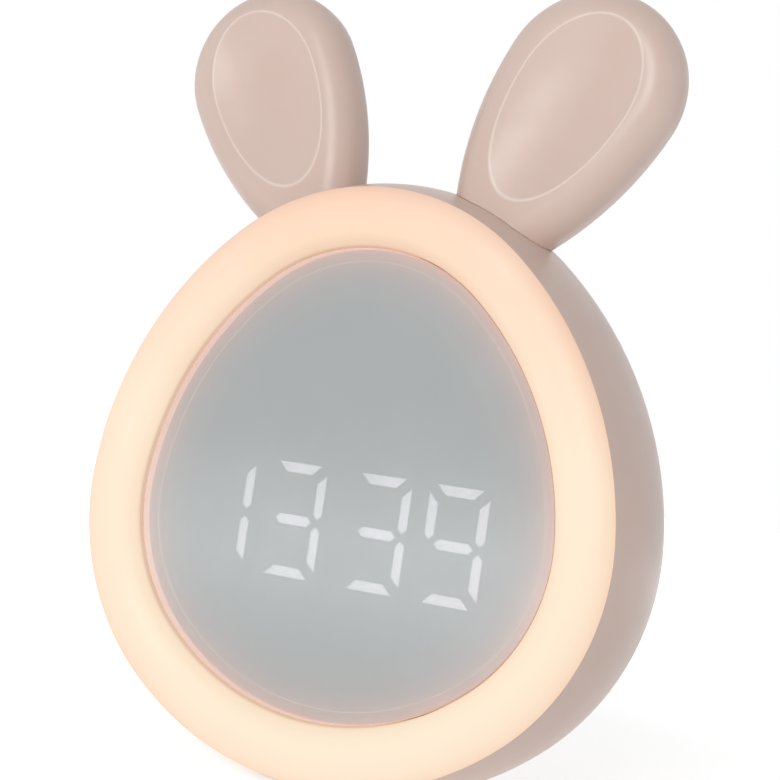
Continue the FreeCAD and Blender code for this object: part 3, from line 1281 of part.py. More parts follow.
doc.recompute()
broken = [item.Name for item in doc.Objects if {"Invalid", "Error"} & set(item.State)]
assert not broken, broken
solids = {}
for node in NODES:
    shape = doc.getObjectsByLabel(node)[0].Shape
    assert not shape.isNull() and shape.isValid() and shape.Solids, node
    solids[node] = shape

os.makedirs("parts", exist_ok=True)
for node, shape in solids.items():
    shape.exportStep(f"parts/{node}.step")
    print(node, len(shape.Solids), round(shape.Volume, 1))
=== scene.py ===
# Bedside clock with a glowing egg-shaped ring, a mirror face, four digits and two ears.
# Metres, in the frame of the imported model: X to the right, Y to the back, Z up.
import json
import math

import bmesh
import bpy
from mathutils import Matrix, Vector

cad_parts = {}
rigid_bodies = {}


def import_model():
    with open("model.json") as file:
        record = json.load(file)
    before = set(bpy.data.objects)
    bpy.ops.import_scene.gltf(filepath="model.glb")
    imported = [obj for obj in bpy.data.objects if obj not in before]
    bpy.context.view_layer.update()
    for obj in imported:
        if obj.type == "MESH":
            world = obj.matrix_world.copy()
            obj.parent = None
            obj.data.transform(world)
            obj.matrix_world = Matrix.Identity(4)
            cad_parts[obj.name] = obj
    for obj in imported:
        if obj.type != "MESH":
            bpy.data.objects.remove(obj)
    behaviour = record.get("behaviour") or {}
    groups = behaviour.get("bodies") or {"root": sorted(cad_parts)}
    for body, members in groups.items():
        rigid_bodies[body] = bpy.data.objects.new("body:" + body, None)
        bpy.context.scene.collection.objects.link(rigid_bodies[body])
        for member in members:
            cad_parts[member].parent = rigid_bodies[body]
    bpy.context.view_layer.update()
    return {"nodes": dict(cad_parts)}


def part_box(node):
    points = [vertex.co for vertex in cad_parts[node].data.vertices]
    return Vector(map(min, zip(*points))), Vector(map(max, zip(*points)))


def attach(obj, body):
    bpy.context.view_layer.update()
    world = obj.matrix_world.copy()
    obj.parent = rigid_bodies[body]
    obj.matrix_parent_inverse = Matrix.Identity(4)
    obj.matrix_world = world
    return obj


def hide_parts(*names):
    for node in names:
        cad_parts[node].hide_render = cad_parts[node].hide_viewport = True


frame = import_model()
nodes = frame["nodes"]

# The camera stands to the right of the clock, just above its digits, and is held a little
# turned. Its place follows from the outlines of the lens, ring and housing in the picture.
camera_place = (0.10115, -0.23464, 0.05780)
camera_azimuth = math.radians(23.64)
camera_elevation = math.radians(-2.79)
camera_roll = math.radians(8.26)
back = Vector((
    math.sin(camera_azimuth) * math.cos(camera_elevation),
    -math.cos(camera_azimuth) * math.cos(camera_elevation),
    math.sin(camera_elevation),
))
right = Vector((math.cos(camera_azimuth), math.sin(camera_azimuth), 0.0))
up = back.cross(right)
across = right * math.cos(camera_roll) + up * math.sin(camera_roll)
upward = up * math.cos(camera_roll) - right * math.sin(camera_roll)
camera_data = bpy.data.cameras.new("camera")
camera_data.sensor_width = 36.0
camera_data.lens = 64.58
camera_data.clip_start = 0.01
camera_data.clip_end = 20.0
camera = bpy.data.objects.new("camera", camera_data)
camera_turn = Matrix((across, upward, back)).transposed()
camera.matrix_world = Matrix.Translation(camera_place) @ camera_turn.to_4x4()
bpy.context.scene.collection.objects.link(camera)
bpy.context.scene.camera = camera
bpy.context.scene.view_settings.view_transform = "Standard"

# The rear housing is one moulding of pinkish beige ABS with a fine satin texture: the belly,
# the rounded back with its key holes and speaker grille, and the flat base.


def paint(red, green, blue):
    """Screen colour, 0 to 255, as the light values that shaders read."""
    levels = [level / 255 for level in (red, green, blue)]
    light = [v / 12.92 if v <= 0.04045 else ((v + 0.055) / 1.055) ** 2.4 for v in levels]
    return (*light, 1.0)


def new_finish(name, colour, roughness, **sockets):
    """Material with one Principled shader. Other sockets are named with _ for each space."""
    material = bpy.data.materials.new(name)
    material.use_nodes = True
    inputs = material.node_tree.nodes["Principled BSDF"].inputs
    inputs["Base Color"].default_value = colour
    inputs["Roughness"].default_value = roughness
    for socket, level in sockets.items():
        inputs[socket.replace("_", " ")].default_value = level
    return material


def add_step(tree, kind, inputs=None, **settings):
    """New node of a tree. An input is given a value, or another node's output to take it from."""
    node = tree.nodes.new(kind)
    for name, setting in settings.items():
        setattr(node, name, setting)
    for entry, source in (inputs or {}).items():
        if isinstance(source, bpy.types.NodeSocket):
            tree.links.new(source, node.inputs[entry])
        else:
            node.inputs[entry].default_value = source
    return node


def socket_of(finish, name):
    """Input of the finish's Principled shader."""
    return finish.node_tree.nodes["Principled BSDF"].inputs[name]


def feed(finish, name, source):
    """Let another node's output drive an input of the shader."""
    finish.node_tree.links.new(source, socket_of(finish, name))


def place_on(finish):
    """Place on the piece, in metres."""
    return add_step(finish.node_tree, "ShaderNodeTexCoord").outputs["Object"]


def noise_on(finish, cell, detail=2.0):
    """Noise with cells of about this many metres."""
    settings = {"Vector": place_on(finish), "Scale": 1.0 / cell, "Detail": detail}
    return add_step(finish.node_tree, "ShaderNodeTexNoise", settings).outputs["Fac"]


def spread(finish, source, low, high, start=0.3, end=0.7):
    """Stretch one stretch of a signal, from start to end, over the range from low to high."""
    limits = {"Value": source, "From Min": start, "From Max": end, "To Min": low, "To Max": high}
    return add_step(finish.node_tree, "ShaderNodeMapRange", limits).outputs["Result"]


def in_use(sockets):
    """The one output that a node has for its present type of data."""
    return next(socket for socket in sockets if socket.enabled)


def blend(finish, share, first, second):
    """Mix of two colours. Each may come from another node."""
    node = add_step(finish.node_tree, "ShaderNodeMix", data_type="RGBA")
    sockets = [socket for socket in node.inputs if socket.enabled]
    for socket, source in zip(sockets, (share, first, second)):
        if isinstance(source, bpy.types.NodeSocket):
            finish.node_tree.links.new(source, socket)
        else:
            socket.default_value = source
    return in_use(node.outputs)


def compute(finish, operation, first, second=0.0):
    """Number worked out from one or two others."""
    node = add_step(finish.node_tree, "ShaderNodeMath", {0: first, 1: second}, operation=operation)
    return node.outputs[0]


def add_grain(finish, cell, depth, rough_low, rough_high, rough_cell=None):
    """Fine relief of the surface, and a roughness that varies over wider patches."""
    relief = {"Height": noise_on(finish, cell), "Distance": depth}
    feed(finish, "Normal", add_step(finish.node_tree, "ShaderNodeBump", relief).outputs["Normal"])
    patches = noise_on(finish, rough_cell or cell * 12, 3.0)
    feed(finish, "Roughness", spread(finish, patches, rough_low, rough_high))


def add_mottle(finish, colour, other, cell):
    """Colour that drifts between two close shades."""
    drift = spread(finish, noise_on(finish, cell, 3.0), 0.0, 1.0)
    feed(finish, "Base Color", blend(finish, drift, colour, other))


def dress(finish, *names):
    """Give CAD nodes this finish."""
    for name in names:
        slots = nodes[name].data.materials
        slots.clear()
        slots.append(finish)


shell_finish = new_finish("beige_shell", paint(222, 198, 186), 0.42)
add_mottle(shell_finish, paint(223, 199, 187), paint(219, 194, 182), cell=0.02)
add_grain(shell_finish, cell=0.00035, depth=0.000008, rough_low=0.3, rough_high=0.37, rough_cell=0.006)
dress(shell_finish, "rear_housing")

# Four feet of soft greige silicone rubber are pressed into recesses of the flat base.
foot_finish = new_finish("foot_rubber", paint(178, 170, 164), 0.75)
add_mottle(foot_finish, paint(180, 172, 166), paint(172, 163, 157), cell=0.002)
add_grain(foot_finish, cell=0.0003, depth=0.00002, rough_low=0.65, rough_high=0.85)
dress(foot_finish, "rubber_feet")

# The speaker has a pressed steel basket in black lacquer, and sits on a foam gasket behind the
# grille.
lacquer_finish = new_finish("speaker_steel", paint(62, 62, 64), 0.35)
add_mottle(lacquer_finish, paint(64, 64, 66), paint(54, 54, 56), cell=0.003)
add_grain(lacquer_finish, cell=0.0004, depth=0.000008, rough_low=0.28, rough_high=0.45)
dress(lacquer_finish, "speaker")
foam_finish = new_finish("foam", paint(52, 52, 54), 0.95)
add_mottle(foam_finish, paint(56, 56, 58), paint(44, 44, 46), cell=0.0008)
add_grain(foam_finish, cell=0.0005, depth=0.00006, rough_low=0.88, rough_high=1.0)
dress(foam_finish, "speaker_gasket", "battery_tape", "lens_tape")

# Five keys of the same beige as the shell, in silicone rubber, lie over tact switches with
# black plungers.
key_finish = new_finish("key_rubber", paint(206, 182, 170), 0.55)
add_mottle(key_finish, paint(208, 184, 172), paint(203, 178, 166), cell=0.004)
add_grain(key_finish, cell=0.0003, depth=0.000012, rough_low=0.5, rough_high=0.62)
key_names = ["mode", "alarm", "down", "up", "light"]
dress(key_finish, *[f"{name}_key" for name in key_names])
black_finish = new_finish("black_plastic", paint(36, 36, 38), 0.4)
add_mottle(black_finish, paint(38, 38, 40), paint(32, 32, 34), cell=0.003)
add_grain(black_finish, cell=0.0003, depth=0.00001, rough_low=0.35, rough_high=0.5)
dress(black_finish, *[f"{name}_plunger" for name in key_names])
dress(black_finish, "key_switches", "slide_switch_knob", "controller_chip")

# The main board is green glass laminate under solder mask, with its chip, its crystal and the
# plated charging socket.
board_finish = new_finish("circuit_board", paint(28, 92, 58), 0.35)
add_mottle(board_finish, paint(30, 98, 62), paint(22, 76, 48), cell=0.0025)
add_grain(board_finish, cell=0.0004, depth=0.000015, rough_low=0.28, rough_high=0.45)
dress(board_finish, "main_board", "display_board", "ring_led_board")
plated_finish = new_finish("plated_steel", paint(196, 194, 190), 0.25, Metallic=1.0)
add_grain(plated_finish, cell=0.0003, depth=0.000004, rough_low=0.2, rough_high=0.36)
add_mottle(plated_finish, paint(198, 196, 192), paint(186, 183, 177), cell=0.004)
dress(plated_finish, "usb_socket", "slide_switch_body", "clock_crystal")
white_finish = new_finish("white_plastic", paint(228, 226, 222), 0.5)
add_mottle(white_finish, paint(229, 227, 223), paint(222, 220, 215), cell=0.006)
add_grain(white_finish, cell=0.0004, depth=0.00001, rough_low=0.45, rough_high=0.58)
dress(white_finish, "lead_connectors", "light_frame", "digit_block")

# Twenty-four light chips stand round the annular board, under the ring.
chip_finish = new_finish("light_chip", paint(250, 226, 150), 0.3)
add_mottle(chip_finish, paint(250, 228, 156), paint(244, 214, 128), cell=0.0008)
add_grain(chip_finish, cell=0.0003, depth=0.00001, rough_low=0.25, rough_high=0.4)
dress(chip_finish, "ring_leds", "segment_leds")

# A lithium cell in silver foil lies on foam tape behind the display board.
foil_finish = new_finish("battery_foil", paint(176, 178, 182), 0.3, Metallic=0.8)
add_mottle(foil_finish, paint(178, 180, 184), paint(166, 168, 172), cell=0.005)
add_grain(foil_finish, cell=0.0012, depth=0.00005, rough_low=0.24, rough_high=0.42)
dress(foil_finish, "battery")

# Machine screws of plated steel hold the boards, ears and housing.
screw_finish = new_finish("screw_steel", paint(168, 166, 160), 0.32, Metallic=1.0)
add_mottle(screw_finish, paint(170, 168, 162), paint(156, 153, 146), cell=0.0012)
add_grain(screw_finish, cell=0.0002, depth=0.000005, rough_low=0.25, rough_high=0.42)
dress(screw_finish, "ear_screws", "case_screws", "display_screws", "board_screws")

# The diffuser ring is a domed moulding of milky polycarbonate, lit from inside. It drops into
# the rim of the housing, and its ledge carries the lens.
MM = 0.001
crown_radius, flank_radius, cheek_radius = 40.0 * MM, 65.4 * MM, 41.8 * MM
crown_turn, flank_turn, cheek_turn = (math.radians(turn) for turn in (40.5, 84.9, 138.3))


def egg_arcs():
    """Centre and radius of the four arcs of the right half of the ring's edge, top to bottom."""
    turns = (crown_turn, flank_turn)
    radii = [crown_radius, flank_radius, cheek_radius]
    x, z = 0.0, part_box("diffuser_ring")[1].z - crown_radius
    arcs = [(x, z, crown_radius)]
    for turn, radius, following in zip(turns, radii, radii[1:]):
        x += (radius - following) * math.sin(turn)
        z += (radius - following) * math.cos(turn)
        arcs.append((x, z, following))
    base_radius = cheek_radius + x / math.sin(cheek_turn)
    arcs.append((0.0, z + (cheek_radius - base_radius) * math.cos(cheek_turn), base_radius))
    return arcs


outer_edge = egg_arcs()


def egg_point(turn, inset):
    """Point of the egg whose outward direction is turned this far from upright, clockwise."""
    side = 1.0 if turn <= math.pi else -1.0
    half = turn if side > 0 else 2 * math.pi - turn
    part = sum(half > limit for limit in (crown_turn, flank_turn, cheek_turn))
    x, z, radius = outer_edge[part]
    return side * (x + (radius - inset) * math.sin(half)), z + (radius - inset) * math.cos(half)


def closed_row(name, points):
    """Row of edges through these points and back to the first."""
    mesh = bpy.data.meshes.new(name)
    count = len(points)
    mesh.from_pydata(points, [(step, (step + 1) % count) for step in range(count)], [])
    return mesh


def egg_row(name, steps):
    """The ring's outer edge, drawn in the plane Y = 0."""
    points = [egg_point(2 * math.pi * step / steps, 0.0) for step in range(steps)]
    return closed_row(name, [(x, 0.0, z) for x, z in points])


def new_tree(name, inputs):
    """Geometry tree with named inputs, with its input and output nodes."""
    tree = bpy.data.node_groups.new(name, "GeometryNodeTree")
    tree.interface.new_socket("Geometry", in_out="INPUT", socket_type="NodeSocketGeometry")
    for label, kind in inputs:
        tree.interface.new_socket(label, in_out="INPUT", socket_type=f"NodeSocket{kind}")
    tree.interface.new_socket("Geometry", in_out="OUTPUT", socket_type="NodeSocketGeometry")
    return tree, tree.nodes.new("NodeGroupInput").outputs, tree.nodes.new("NodeGroupOutput").inputs


def finish_tree(tree, geometry, given, result):
    """End of a tree: plain geometry in the given finish."""
    real = add_step(tree, "GeometryNodeRealizeInstances", {"Geometry": geometry})
    finished = {"Geometry": real.outputs[0], "Material": given["Finish"]}
    done = add_step(tree, "GeometryNodeSetMaterial", finished)
    tree.links.new(done.outputs[0], result["Geometry"])


def sweep_tree():
    """Carries a section round an outline. Each point keeps its depth into the egg as inset."""
    tree, given, result = new_tree("follow_outline", [("Section", "Object"), ("Finish", "Material")])
    outline = add_step(tree, "GeometryNodeMeshToCurve", {"Mesh": given["Geometry"]})
    drawing = add_step(tree, "GeometryNodeObjectInfo", {"Object": given["Section"]})
    drawn = add_step(tree, "GeometryNodeMeshToCurve", {"Mesh": drawing.outputs["Geometry"]})
    place = add_step(tree, "GeometryNodeInputPosition")
    split = add_step(tree, "ShaderNodeSeparateXYZ", {"Vector": place.outputs[0]})
    kept = add_step(
        tree, "GeometryNodeStoreNamedAttribute",
        {"Geometry": drawn.outputs[0], "Name": "inset", "Value": split.outputs["Y"]},
    )
    swept = add_step(
        tree, "GeometryNodeCurveToMesh", {"Curve": outline.outputs[0], "Profile Curve": kept.outputs[0]}
    )
    finish_tree(tree, swept.outputs[0], given, result)
    return tree


def grow(mesh, tree, **settings):
    """Run a tree on a mesh and keep what it makes as a plain object of that name."""
    piece = bpy.data.objects.new(mesh.name, mesh)
    bpy.context.scene.collection.objects.link(piece)
    modifier = piece.modifiers.new("maker", "NODES")
    modifier.node_group = tree
    for item in tree.interface.items_tree:
        if item.in_out == "INPUT" and item.name in settings:
            modifier[item.identifier] = settings[item.name]
    bpy.context.view_layer.update()
    ready = piece.evaluated_get(bpy.context.evaluated_depsgraph_get())
    made = bpy.data.meshes.new_from_object(ready)
    piece.modifiers.clear()
    piece.data = made
    return piece


def sweep(name, section, finish, steps=360, filled=False):
    """Piece with this section all the way round the egg. A point is its inset and its Y.
    A filled piece has no opening: its innermost wall is replaced by flat faces."""
    corners = [(-y, inset, 0.0) for inset, y in section]
    drawing = bpy.data.objects.new("section", closed_row("section", corners))
    bpy.context.scene.collection.objects.link(drawing)
    piece = grow(egg_row(name, steps), follow_outline, Section=drawing, Finish=finish)
    bpy.data.objects.remove(drawing)
    work = bmesh.new()
    work.from_mesh(piece.data)
    if filled:
        layer = work.verts.layers.float["inset"]
        innermost = max(inset for inset, y in section) - MM / 100
        wall = [
            face for face in work.faces
            if all(vert[layer] > innermost for vert in face.verts)
        ]
        bmesh.ops.delete(work, geom=wall, context="FACES_ONLY")
        bmesh.ops.holes_fill(work, edges=[edge for edge in work.edges if edge.is_boundary], sides=0)
    bmesh.ops.recalc_face_normals(work, faces=work.faces)
    work.to_mesh(piece.data)
    work.free()
    piece.data.shade_smooth()
    piece.data.set_sharp_from_angle(angle=math.radians(35))
    return piece


def slope(crown, edge, steps):
    """Points of the arc from a crown, where it is level, to an edge."""
    run, drop = edge[0] - crown[0], edge[1] - crown[1]
    radius = (run ** 2 + drop ** 2) / (2 * drop)
    points = []
    for step in range(steps + 1):
        turn = math.asin(abs(run) / radius) * step / steps
        points.append((
            crown[0] + math.copysign(radius * math.sin(turn), run),
            crown[1] + radius * (1 - math.cos(turn)),
        ))
    return points


ring_front, ring_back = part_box("diffuser_ring")[0].y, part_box("diffuser_ring")[1].y
lens_front, lens_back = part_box("face_lens")[0].y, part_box("face_lens")[1].y
lens_rise, tape_thick = 1.6 * MM, 0.2 * MM
rim_level = lens_front - lens_rise
ring_lip, inner_lip = 0.4 * MM, 0.6 * MM
ring_width, crown_inset = 10.0 * MM, 4.6 * MM
ring_wall, ledge_width, ledge_thick = 1.8 * MM, 2.2 * MM, 1.2 * MM
skirt_inset = 0.69 * MM
ledge_front = lens_back + tape_thick
ledge_back = ledge_front + ledge_thick
crown = (crown_inset, ring_front)
outer_steps, inner_steps = 14, 16
ring_section = [(0.0, rim_level)]
ring_section += slope(crown, (0.0, rim_level - ring_lip), outer_steps)[::-1]
ring_section += slope(crown, (ring_width, lens_front - inner_lip), inner_steps)[1:]
ring_section += [
    (ring_width, ledge_front),
    (ring_width + ledge_width, ledge_front),
    (ring_width + ledge_width, ledge_back),
    (ring_width - ring_wall, ledge_back),
    (ring_width - ring_wall, ring_front + ring_wall),
    (skirt_inset + ring_wall, ring_front + ring_wall),
    (skirt_inset + ring_wall, ring_back),
    (skirt_inset, ring_back),
    (skirt_inset, rim_level),
]


def attribute_of(finish, name):
    """Number that the mesh keeps on its points."""
    return add_step(finish.node_tree, "ShaderNodeAttribute", attribute_name=name).outputs["Fac"]


def decay(finish, distance, start, reach, level):
    """Light of this level at the start, which falls off over each further reach."""
    beyond = compute(finish, "SUBTRACT", distance, start)
    falling = compute(finish, "EXPONENT", compute(finish, "DIVIDE", beyond, -reach))
    return compute(finish, "MULTIPLY", falling, level)


def ramp(finish, source, low, high, stops):
    """Colours along a signal, between its low and high ends. A stop is its place and colour."""
    position = spread(finish, source, 0.0, 1.0, low, high)
    node = add_step(finish.node_tree, "ShaderNodeValToRGB", {"Fac": position})
    scale = node.color_ramp.elements
    while len(scale) < len(stops):
        scale.new(0.5)
    for element, (place, colour) in zip(scale, stops):
        element.position = (place - low) / (high - low)
        element.color = colour
    return node.outputs["Color"]


follow_outline = sweep_tree()
ring_finish = new_finish("milky_ring", paint(120, 108, 94), 0.5)
ring_depth = attribute_of(ring_finish, "inset")
ring_light = ramp(ring_finish, ring_depth, 0.0, ring_width, [
    (0.0, paint(246, 205, 172)),
    (0.6 * MM, paint(249, 217, 190)),
    (2.0 * MM, paint(253, 227, 200)),
    (3.5 * MM, paint(254, 232, 206)),
    (6.0 * MM, paint(255, 236, 211)),
    (8.5 * MM, paint(254, 234, 207)),
    (9.7 * MM, paint(252, 226, 198)),
    (ring_width, paint(238, 206, 178)),
])
ring_place = add_step(
    ring_finish.node_tree, "ShaderNodeSeparateXYZ", {"Vector": place_on(ring_finish)}
)
pink_start, pink_end = 60.0 * MM, 104.0 * MM
top_share = spread(ring_finish, ring_place.outputs["Z"], 0.0, 1.0, pink_start, pink_end)
top_light = ramp(ring_finish, ring_depth, 0.0, ring_width, [
    (0.0, paint(232, 180, 158)),
    (1.2 * MM, paint(246, 194, 168)),
    (3.0 * MM, paint(254, 204, 177)),
    (8.0 * MM, paint(255, 214, 184)),
    (ring_width, paint(236, 192, 164)),
])
ring_light = blend(ring_finish, top_share, ring_light, top_light)
cloud_size, cloud_share = 30.0 * MM, 0.3
cloud = spread(ring_finish, noise_on(ring_finish, cloud_size), 0.0, cloud_share)
ring_light = blend(ring_finish, cloud, ring_light, paint(255, 242, 220))
feed(ring_finish, "Emission Color", ring_light)
ring_level = 0.8
lit_end, dark_start = ring_width - MM / 50, ring_width + MM / 10
ring_strength = spread(ring_finish, ring_depth, ring_level, 0.0, lit_end, dark_start)
feed(ring_finish, "Emission Strength", ring_strength)
add_grain(
    ring_finish, cell=0.0004, depth=0.000006, rough_low=0.45, rough_high=0.55, rough_cell=0.008
)
ring = sweep("glow_ring", ring_section, ring_finish)
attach(ring, "clock_body")
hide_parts("diffuser_ring")

# The display is a white block with four digits of seven milky windows. Chips behind them light
# the windows of the time, one three three nine, and the rest stay dark.
digit_centres = [across * MM for across in (-23.1, -9.1, 6.9, 20.9)]
digit_level = 44.9 * MM
half_digit_width, half_digit_height = 4.55 * MM, 9.05 * MM
stroke = 1.7 * MM
corner_gap, upright_gap, middle_gap = 0.7 * MM, 1.2 * MM, 2.1 * MM
window_front, window_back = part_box("segment_windows")[0].y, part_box("segment_windows")[1].y
window_rounding = 0.12 * MM
upright_length = (half_digit_height - upright_gap) / 2
lying_length = (2 * half_digit_width - corner_gap) / 2
middle_length = (2 * half_digit_width - middle_gap) / 2
# Each window: half widths across, half heights up, its bar, and if that is turned round.
segments = {
    "a": (0, 1, "lying_end", False),
    "b": (1, 0.5, "upright_high", False),
    "c": (1, -0.5, "upright_low", False),
    "d": (0, -1, "lying_end", True),
    "e": (-1, -0.5, "upright_high", True),
    "f": (-1, 0.5, "upright_low", True),
    "g": (0, 0, "lying_middle", False),
}
lit_windows = ["bc", "abcdg", "abcdg", "abcdfg"]


def mitred(half_length):
    """End of a bar at a corner of the digit, as far along and outward."""
    return [(half_length, stroke / 2), (half_length - stroke, -stroke / 2)]


def pointed(half_length):
    """End of a bar where it meets the middle of the digit."""
    shoulder = half_length - stroke / 2
    return [(shoulder, stroke / 2), (half_length, 0.0), (shoulder, -stroke / 2)]


def outline_of(far, near):
    """Corners round a bar with these two ends."""
    return far + [(-along, outward) for along, outward in reversed(near)]


upright = outline_of(mitred(upright_length), pointed(upright_length))
bar_outlines = {
    "lying_end": outline_of(mitred(lying_length), mitred(lying_length)),
    "lying_middle": outline_of(pointed(middle_length), pointed(middle_length)),
    "upright_high": [(outward, along) for along, outward in upright],
    "upright_low": [(outward, -along) for along, outward in upright],
}


def make_bar(name, outline):
    """Window with this outline and eased front edges."""
    work = bmesh.new()
    front = [work.verts.new((x, window_front, z)) for x, z in outline]
    back = [work.verts.new((x, window_back, z)) for x, z in outline]
    face = work.faces.new(front)
    work.faces.new(back[::-1])
    for step, corner in enumerate(front):
        work.faces.new((corner, front[step - 1], back[step - 1], back[step]))
    bmesh.ops.recalc_face_normals(work, faces=work.faces)
    bmesh.ops.bevel(work, geom=list(face.edges), offset=window_rounding, segments=2, affect="EDGES")
    mesh = bpy.data.meshes.new(name)
    work.to_mesh(mesh)
    work.free()
    return bpy.data.objects.new(name, mesh)


def set_out_tree():
    """Sets a bar on each point. The point says which bar of the stock, and how far it turns."""
    tree, given, result = new_tree("set_out_bars", [("Stock", "Collection"), ("Finish", "Material")])
    stock = add_step(
        tree, "GeometryNodeCollectionInfo",
        {"Collection": given["Stock"], "Separate Children": True, "Reset Children": True},
    )
    bar = add_step(tree, "GeometryNodeInputNamedAttribute", {"Name": "bar"}, data_type="INT")
    turn = add_step(tree, "GeometryNodeInputNamedAttribute", {"Name": "turn"}, data_type="FLOAT")
    rotation = add_step(tree, "ShaderNodeCombineXYZ", {"Y": in_use(turn.outputs)})
    placed = add_step(tree, "GeometryNodeInstanceOnPoints", {
        "Points": given["Geometry"],
        "Instance": stock.outputs[0],
        "Pick Instance": True,
        "Instance Index": in_use(bar.outputs),
        "Rotation": rotation.outputs[0],
    })
    finish_tree(tree, placed.outputs[0], given, result)
    return tree


bar_stock = bpy.data.collections.new("bar_stock")
for number, (kind, outline) in enumerate(bar_outlines.items()):
    bar_stock.objects.link(make_bar(f"bar_{number}_{kind}", outline))
set_out_bars = set_out_tree()


def window_places(lit):
    """Middle, kind of bar and turn of each lit window, or of each other one."""
    places = []
    for centre, lit_here in zip(digit_centres, lit_windows):
        for letter, (across, rise, kind, turned) in segments.items():
            if (letter in lit_here) == lit:
                middle = (centre + across * half_digit_width, digit_level + rise * half_digit_height)
                places.append((middle, kind, turned))
    return places


def make_windows(name, finish, lit):
    """Piece with all the lit windows, or with all the others."""
    places = window_places(lit)
    mesh = bpy.data.meshes.new(name)
    mesh.from_pydata([(x, 0.0, z) for (x, z), kind, turned in places], [], [])
    kinds = [list(bar_outlines).index(kind) for middle, kind, turned in places]
    mesh.attributes.new("bar", "INT", "POINT").data.foreach_set("value", kinds)
    turns = [math.pi * turned for middle, kind, turned in places]
    mesh.attributes.new("turn", "FLOAT", "POINT").data.foreach_set("value", turns)
    piece = grow(mesh, set_out_bars, Stock=bar_stock, Finish=finish)
    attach(piece, "clock_body")
    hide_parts("segment_windows")
    return piece


lit_finish = new_finish("lit_window", paint(235, 232, 235), 0.5)
lit_cloud = spread(lit_finish, noise_on(lit_finish, 2.0 * MM), 0.0, 1.0)
lit_bright, lit_dim = (1.0, 0.93, 1.0, 1.0), (0.92, 0.86, 0.94, 1.0)
lit_light = blend(lit_finish, lit_cloud, lit_bright, lit_dim)
feed(lit_finish, "Emission Color", lit_light)
socket_of(lit_finish, "Emission Strength").default_value = 0.6
add_grain(lit_finish, cell=0.0003, depth=0.000006, rough_low=0.42, rough_high=0.55)
# The unlit windows are milky like the lit ones; their near-black colour is painted shade, since no chip
# lights them.
unlit_shade_finish = new_finish("dark_window", paint(40, 41, 42), 0.6)
add_mottle(unlit_shade_finish, paint(42, 43, 44), paint(36, 37, 38), cell=0.002)
add_grain(unlit_shade_finish, cell=0.0003, depth=0.000006, rough_low=0.55, rough_high=0.68)
lit_bars = make_windows("lit_windows", lit_finish, True)
make_windows("dark_windows", unlit_shade_finish, False)
for bar in list(bar_stock.objects):
    bpy.data.objects.remove(bar)
bpy.data.collections.remove(bar_stock)

# A grey film behind the lens hides the display block. It is cut out over each lit window.
film_front, film_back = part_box("display_film")[0].y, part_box("display_film")[1].y
film_gap = 0.15 * MM
film_inset = ring_width + ledge_width + film_gap
film_steps = 180


def make_film(name, finish):
    """Flat film with the egg for its edge and a hole over each lit window."""
    loops = [[egg_point(2 * math.pi * step / film_steps, film_inset) for step in range(film_steps)]]
    for (x, z), kind, turned in window_places(True):
        way = -1 if turned else 1
        loops.append([(x + way * across, z + way * rise) for across, rise in bar_outlines[kind]])
    work = bmesh.new()
    for loop in loops:
        corners = [work.verts.new((x, film_front, z)) for x, z in loop]
        for step, corner in enumerate(corners):
            work.edges.new((corners[step - 1], corner))
    bmesh.ops.triangle_fill(work, edges=work.edges, use_beauty=True)
    grown = bmesh.ops.extrude_face_region(work, geom=work.faces)
    moved = [part for part in grown["geom"] if isinstance(part, bmesh.types.BMVert)]
    bmesh.ops.translate(work, verts=moved, vec=(0.0, film_back - film_front, 0.0))
    bmesh.ops.recalc_face_normals(work, faces=work.faces)
    mesh = bpy.data.meshes.new(name)
    work.to_mesh(mesh)
    work.free()
    mesh.materials.append(finish)
    piece = bpy.data.objects.new(name, mesh)
    bpy.context.scene.collection.objects.link(piece)
    return piece


film_finish = new_finish("smoke_film", paint(60, 62, 64), 0.3)
add_mottle(film_finish, paint(62, 64, 66), paint(56, 58, 60), cell=0.012)
add_grain(film_finish, cell=0.0004, depth=0.00001, rough_low=0.25, rough_high=0.35)
film = make_film("tinted_film", film_finish)
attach(film, "clock_body")
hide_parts("display_film")

# The lens is flat acrylic with a half mirror behind it. Tape holds it on the ledge of the
# ring. The light of the ring runs into its edge, and that of the windows spreads in it.
lens_gap, lens_chamfer = 0.15 * MM, 0.15 * MM
lens_inset = ring_width + lens_gap
lens_middle = 39.0 * MM
lens_rows = 44
lens_section = [(lens_inset, lens_front + lens_chamfer), (lens_inset + lens_chamfer, lens_front)]
for row in range(1, lens_rows + 1):
    lens_section.append((lens_inset + (lens_middle - lens_inset) * row / lens_rows, lens_front))
lens_section += [(lens_middle, lens_back), (lens_inset, lens_back)]
lens_finish = new_finish("mirror_lens", paint(220, 225, 226), 0.16, Alpha=0.6, Metallic=0.4)
lens_depth = attribute_of(lens_finish, "inset")
rim_glow = decay(lens_finish, lens_depth, start=ring_width, reach=3.0 * MM, level=0.37)
window_distance = attribute_of(lens_finish, "window_distance")
window_glow = decay(lens_finish, window_distance, start=2.3 * MM, reach=1.6 * MM, level=0.02)
both_glows = compute(lens_finish, "ADD", rim_glow, window_glow)
window_share = compute(lens_finish, "DIVIDE", window_glow, both_glows)
ring_colour, window_colour = (1.0, 0.24, 0.03, 1.0), (0.95, 0.85, 1.0, 1.0)
glow_colour = blend(lens_finish, window_share, ring_colour, window_colour)
feed(lens_finish, "Emission Color", glow_colour)
feed(lens_finish, "Emission Strength", both_glows)
lens_patches = noise_on(lens_finish, 12.0 * MM)
feed(lens_finish, "Roughness", spread(lens_finish, lens_patches, low=0.13, high=0.19))


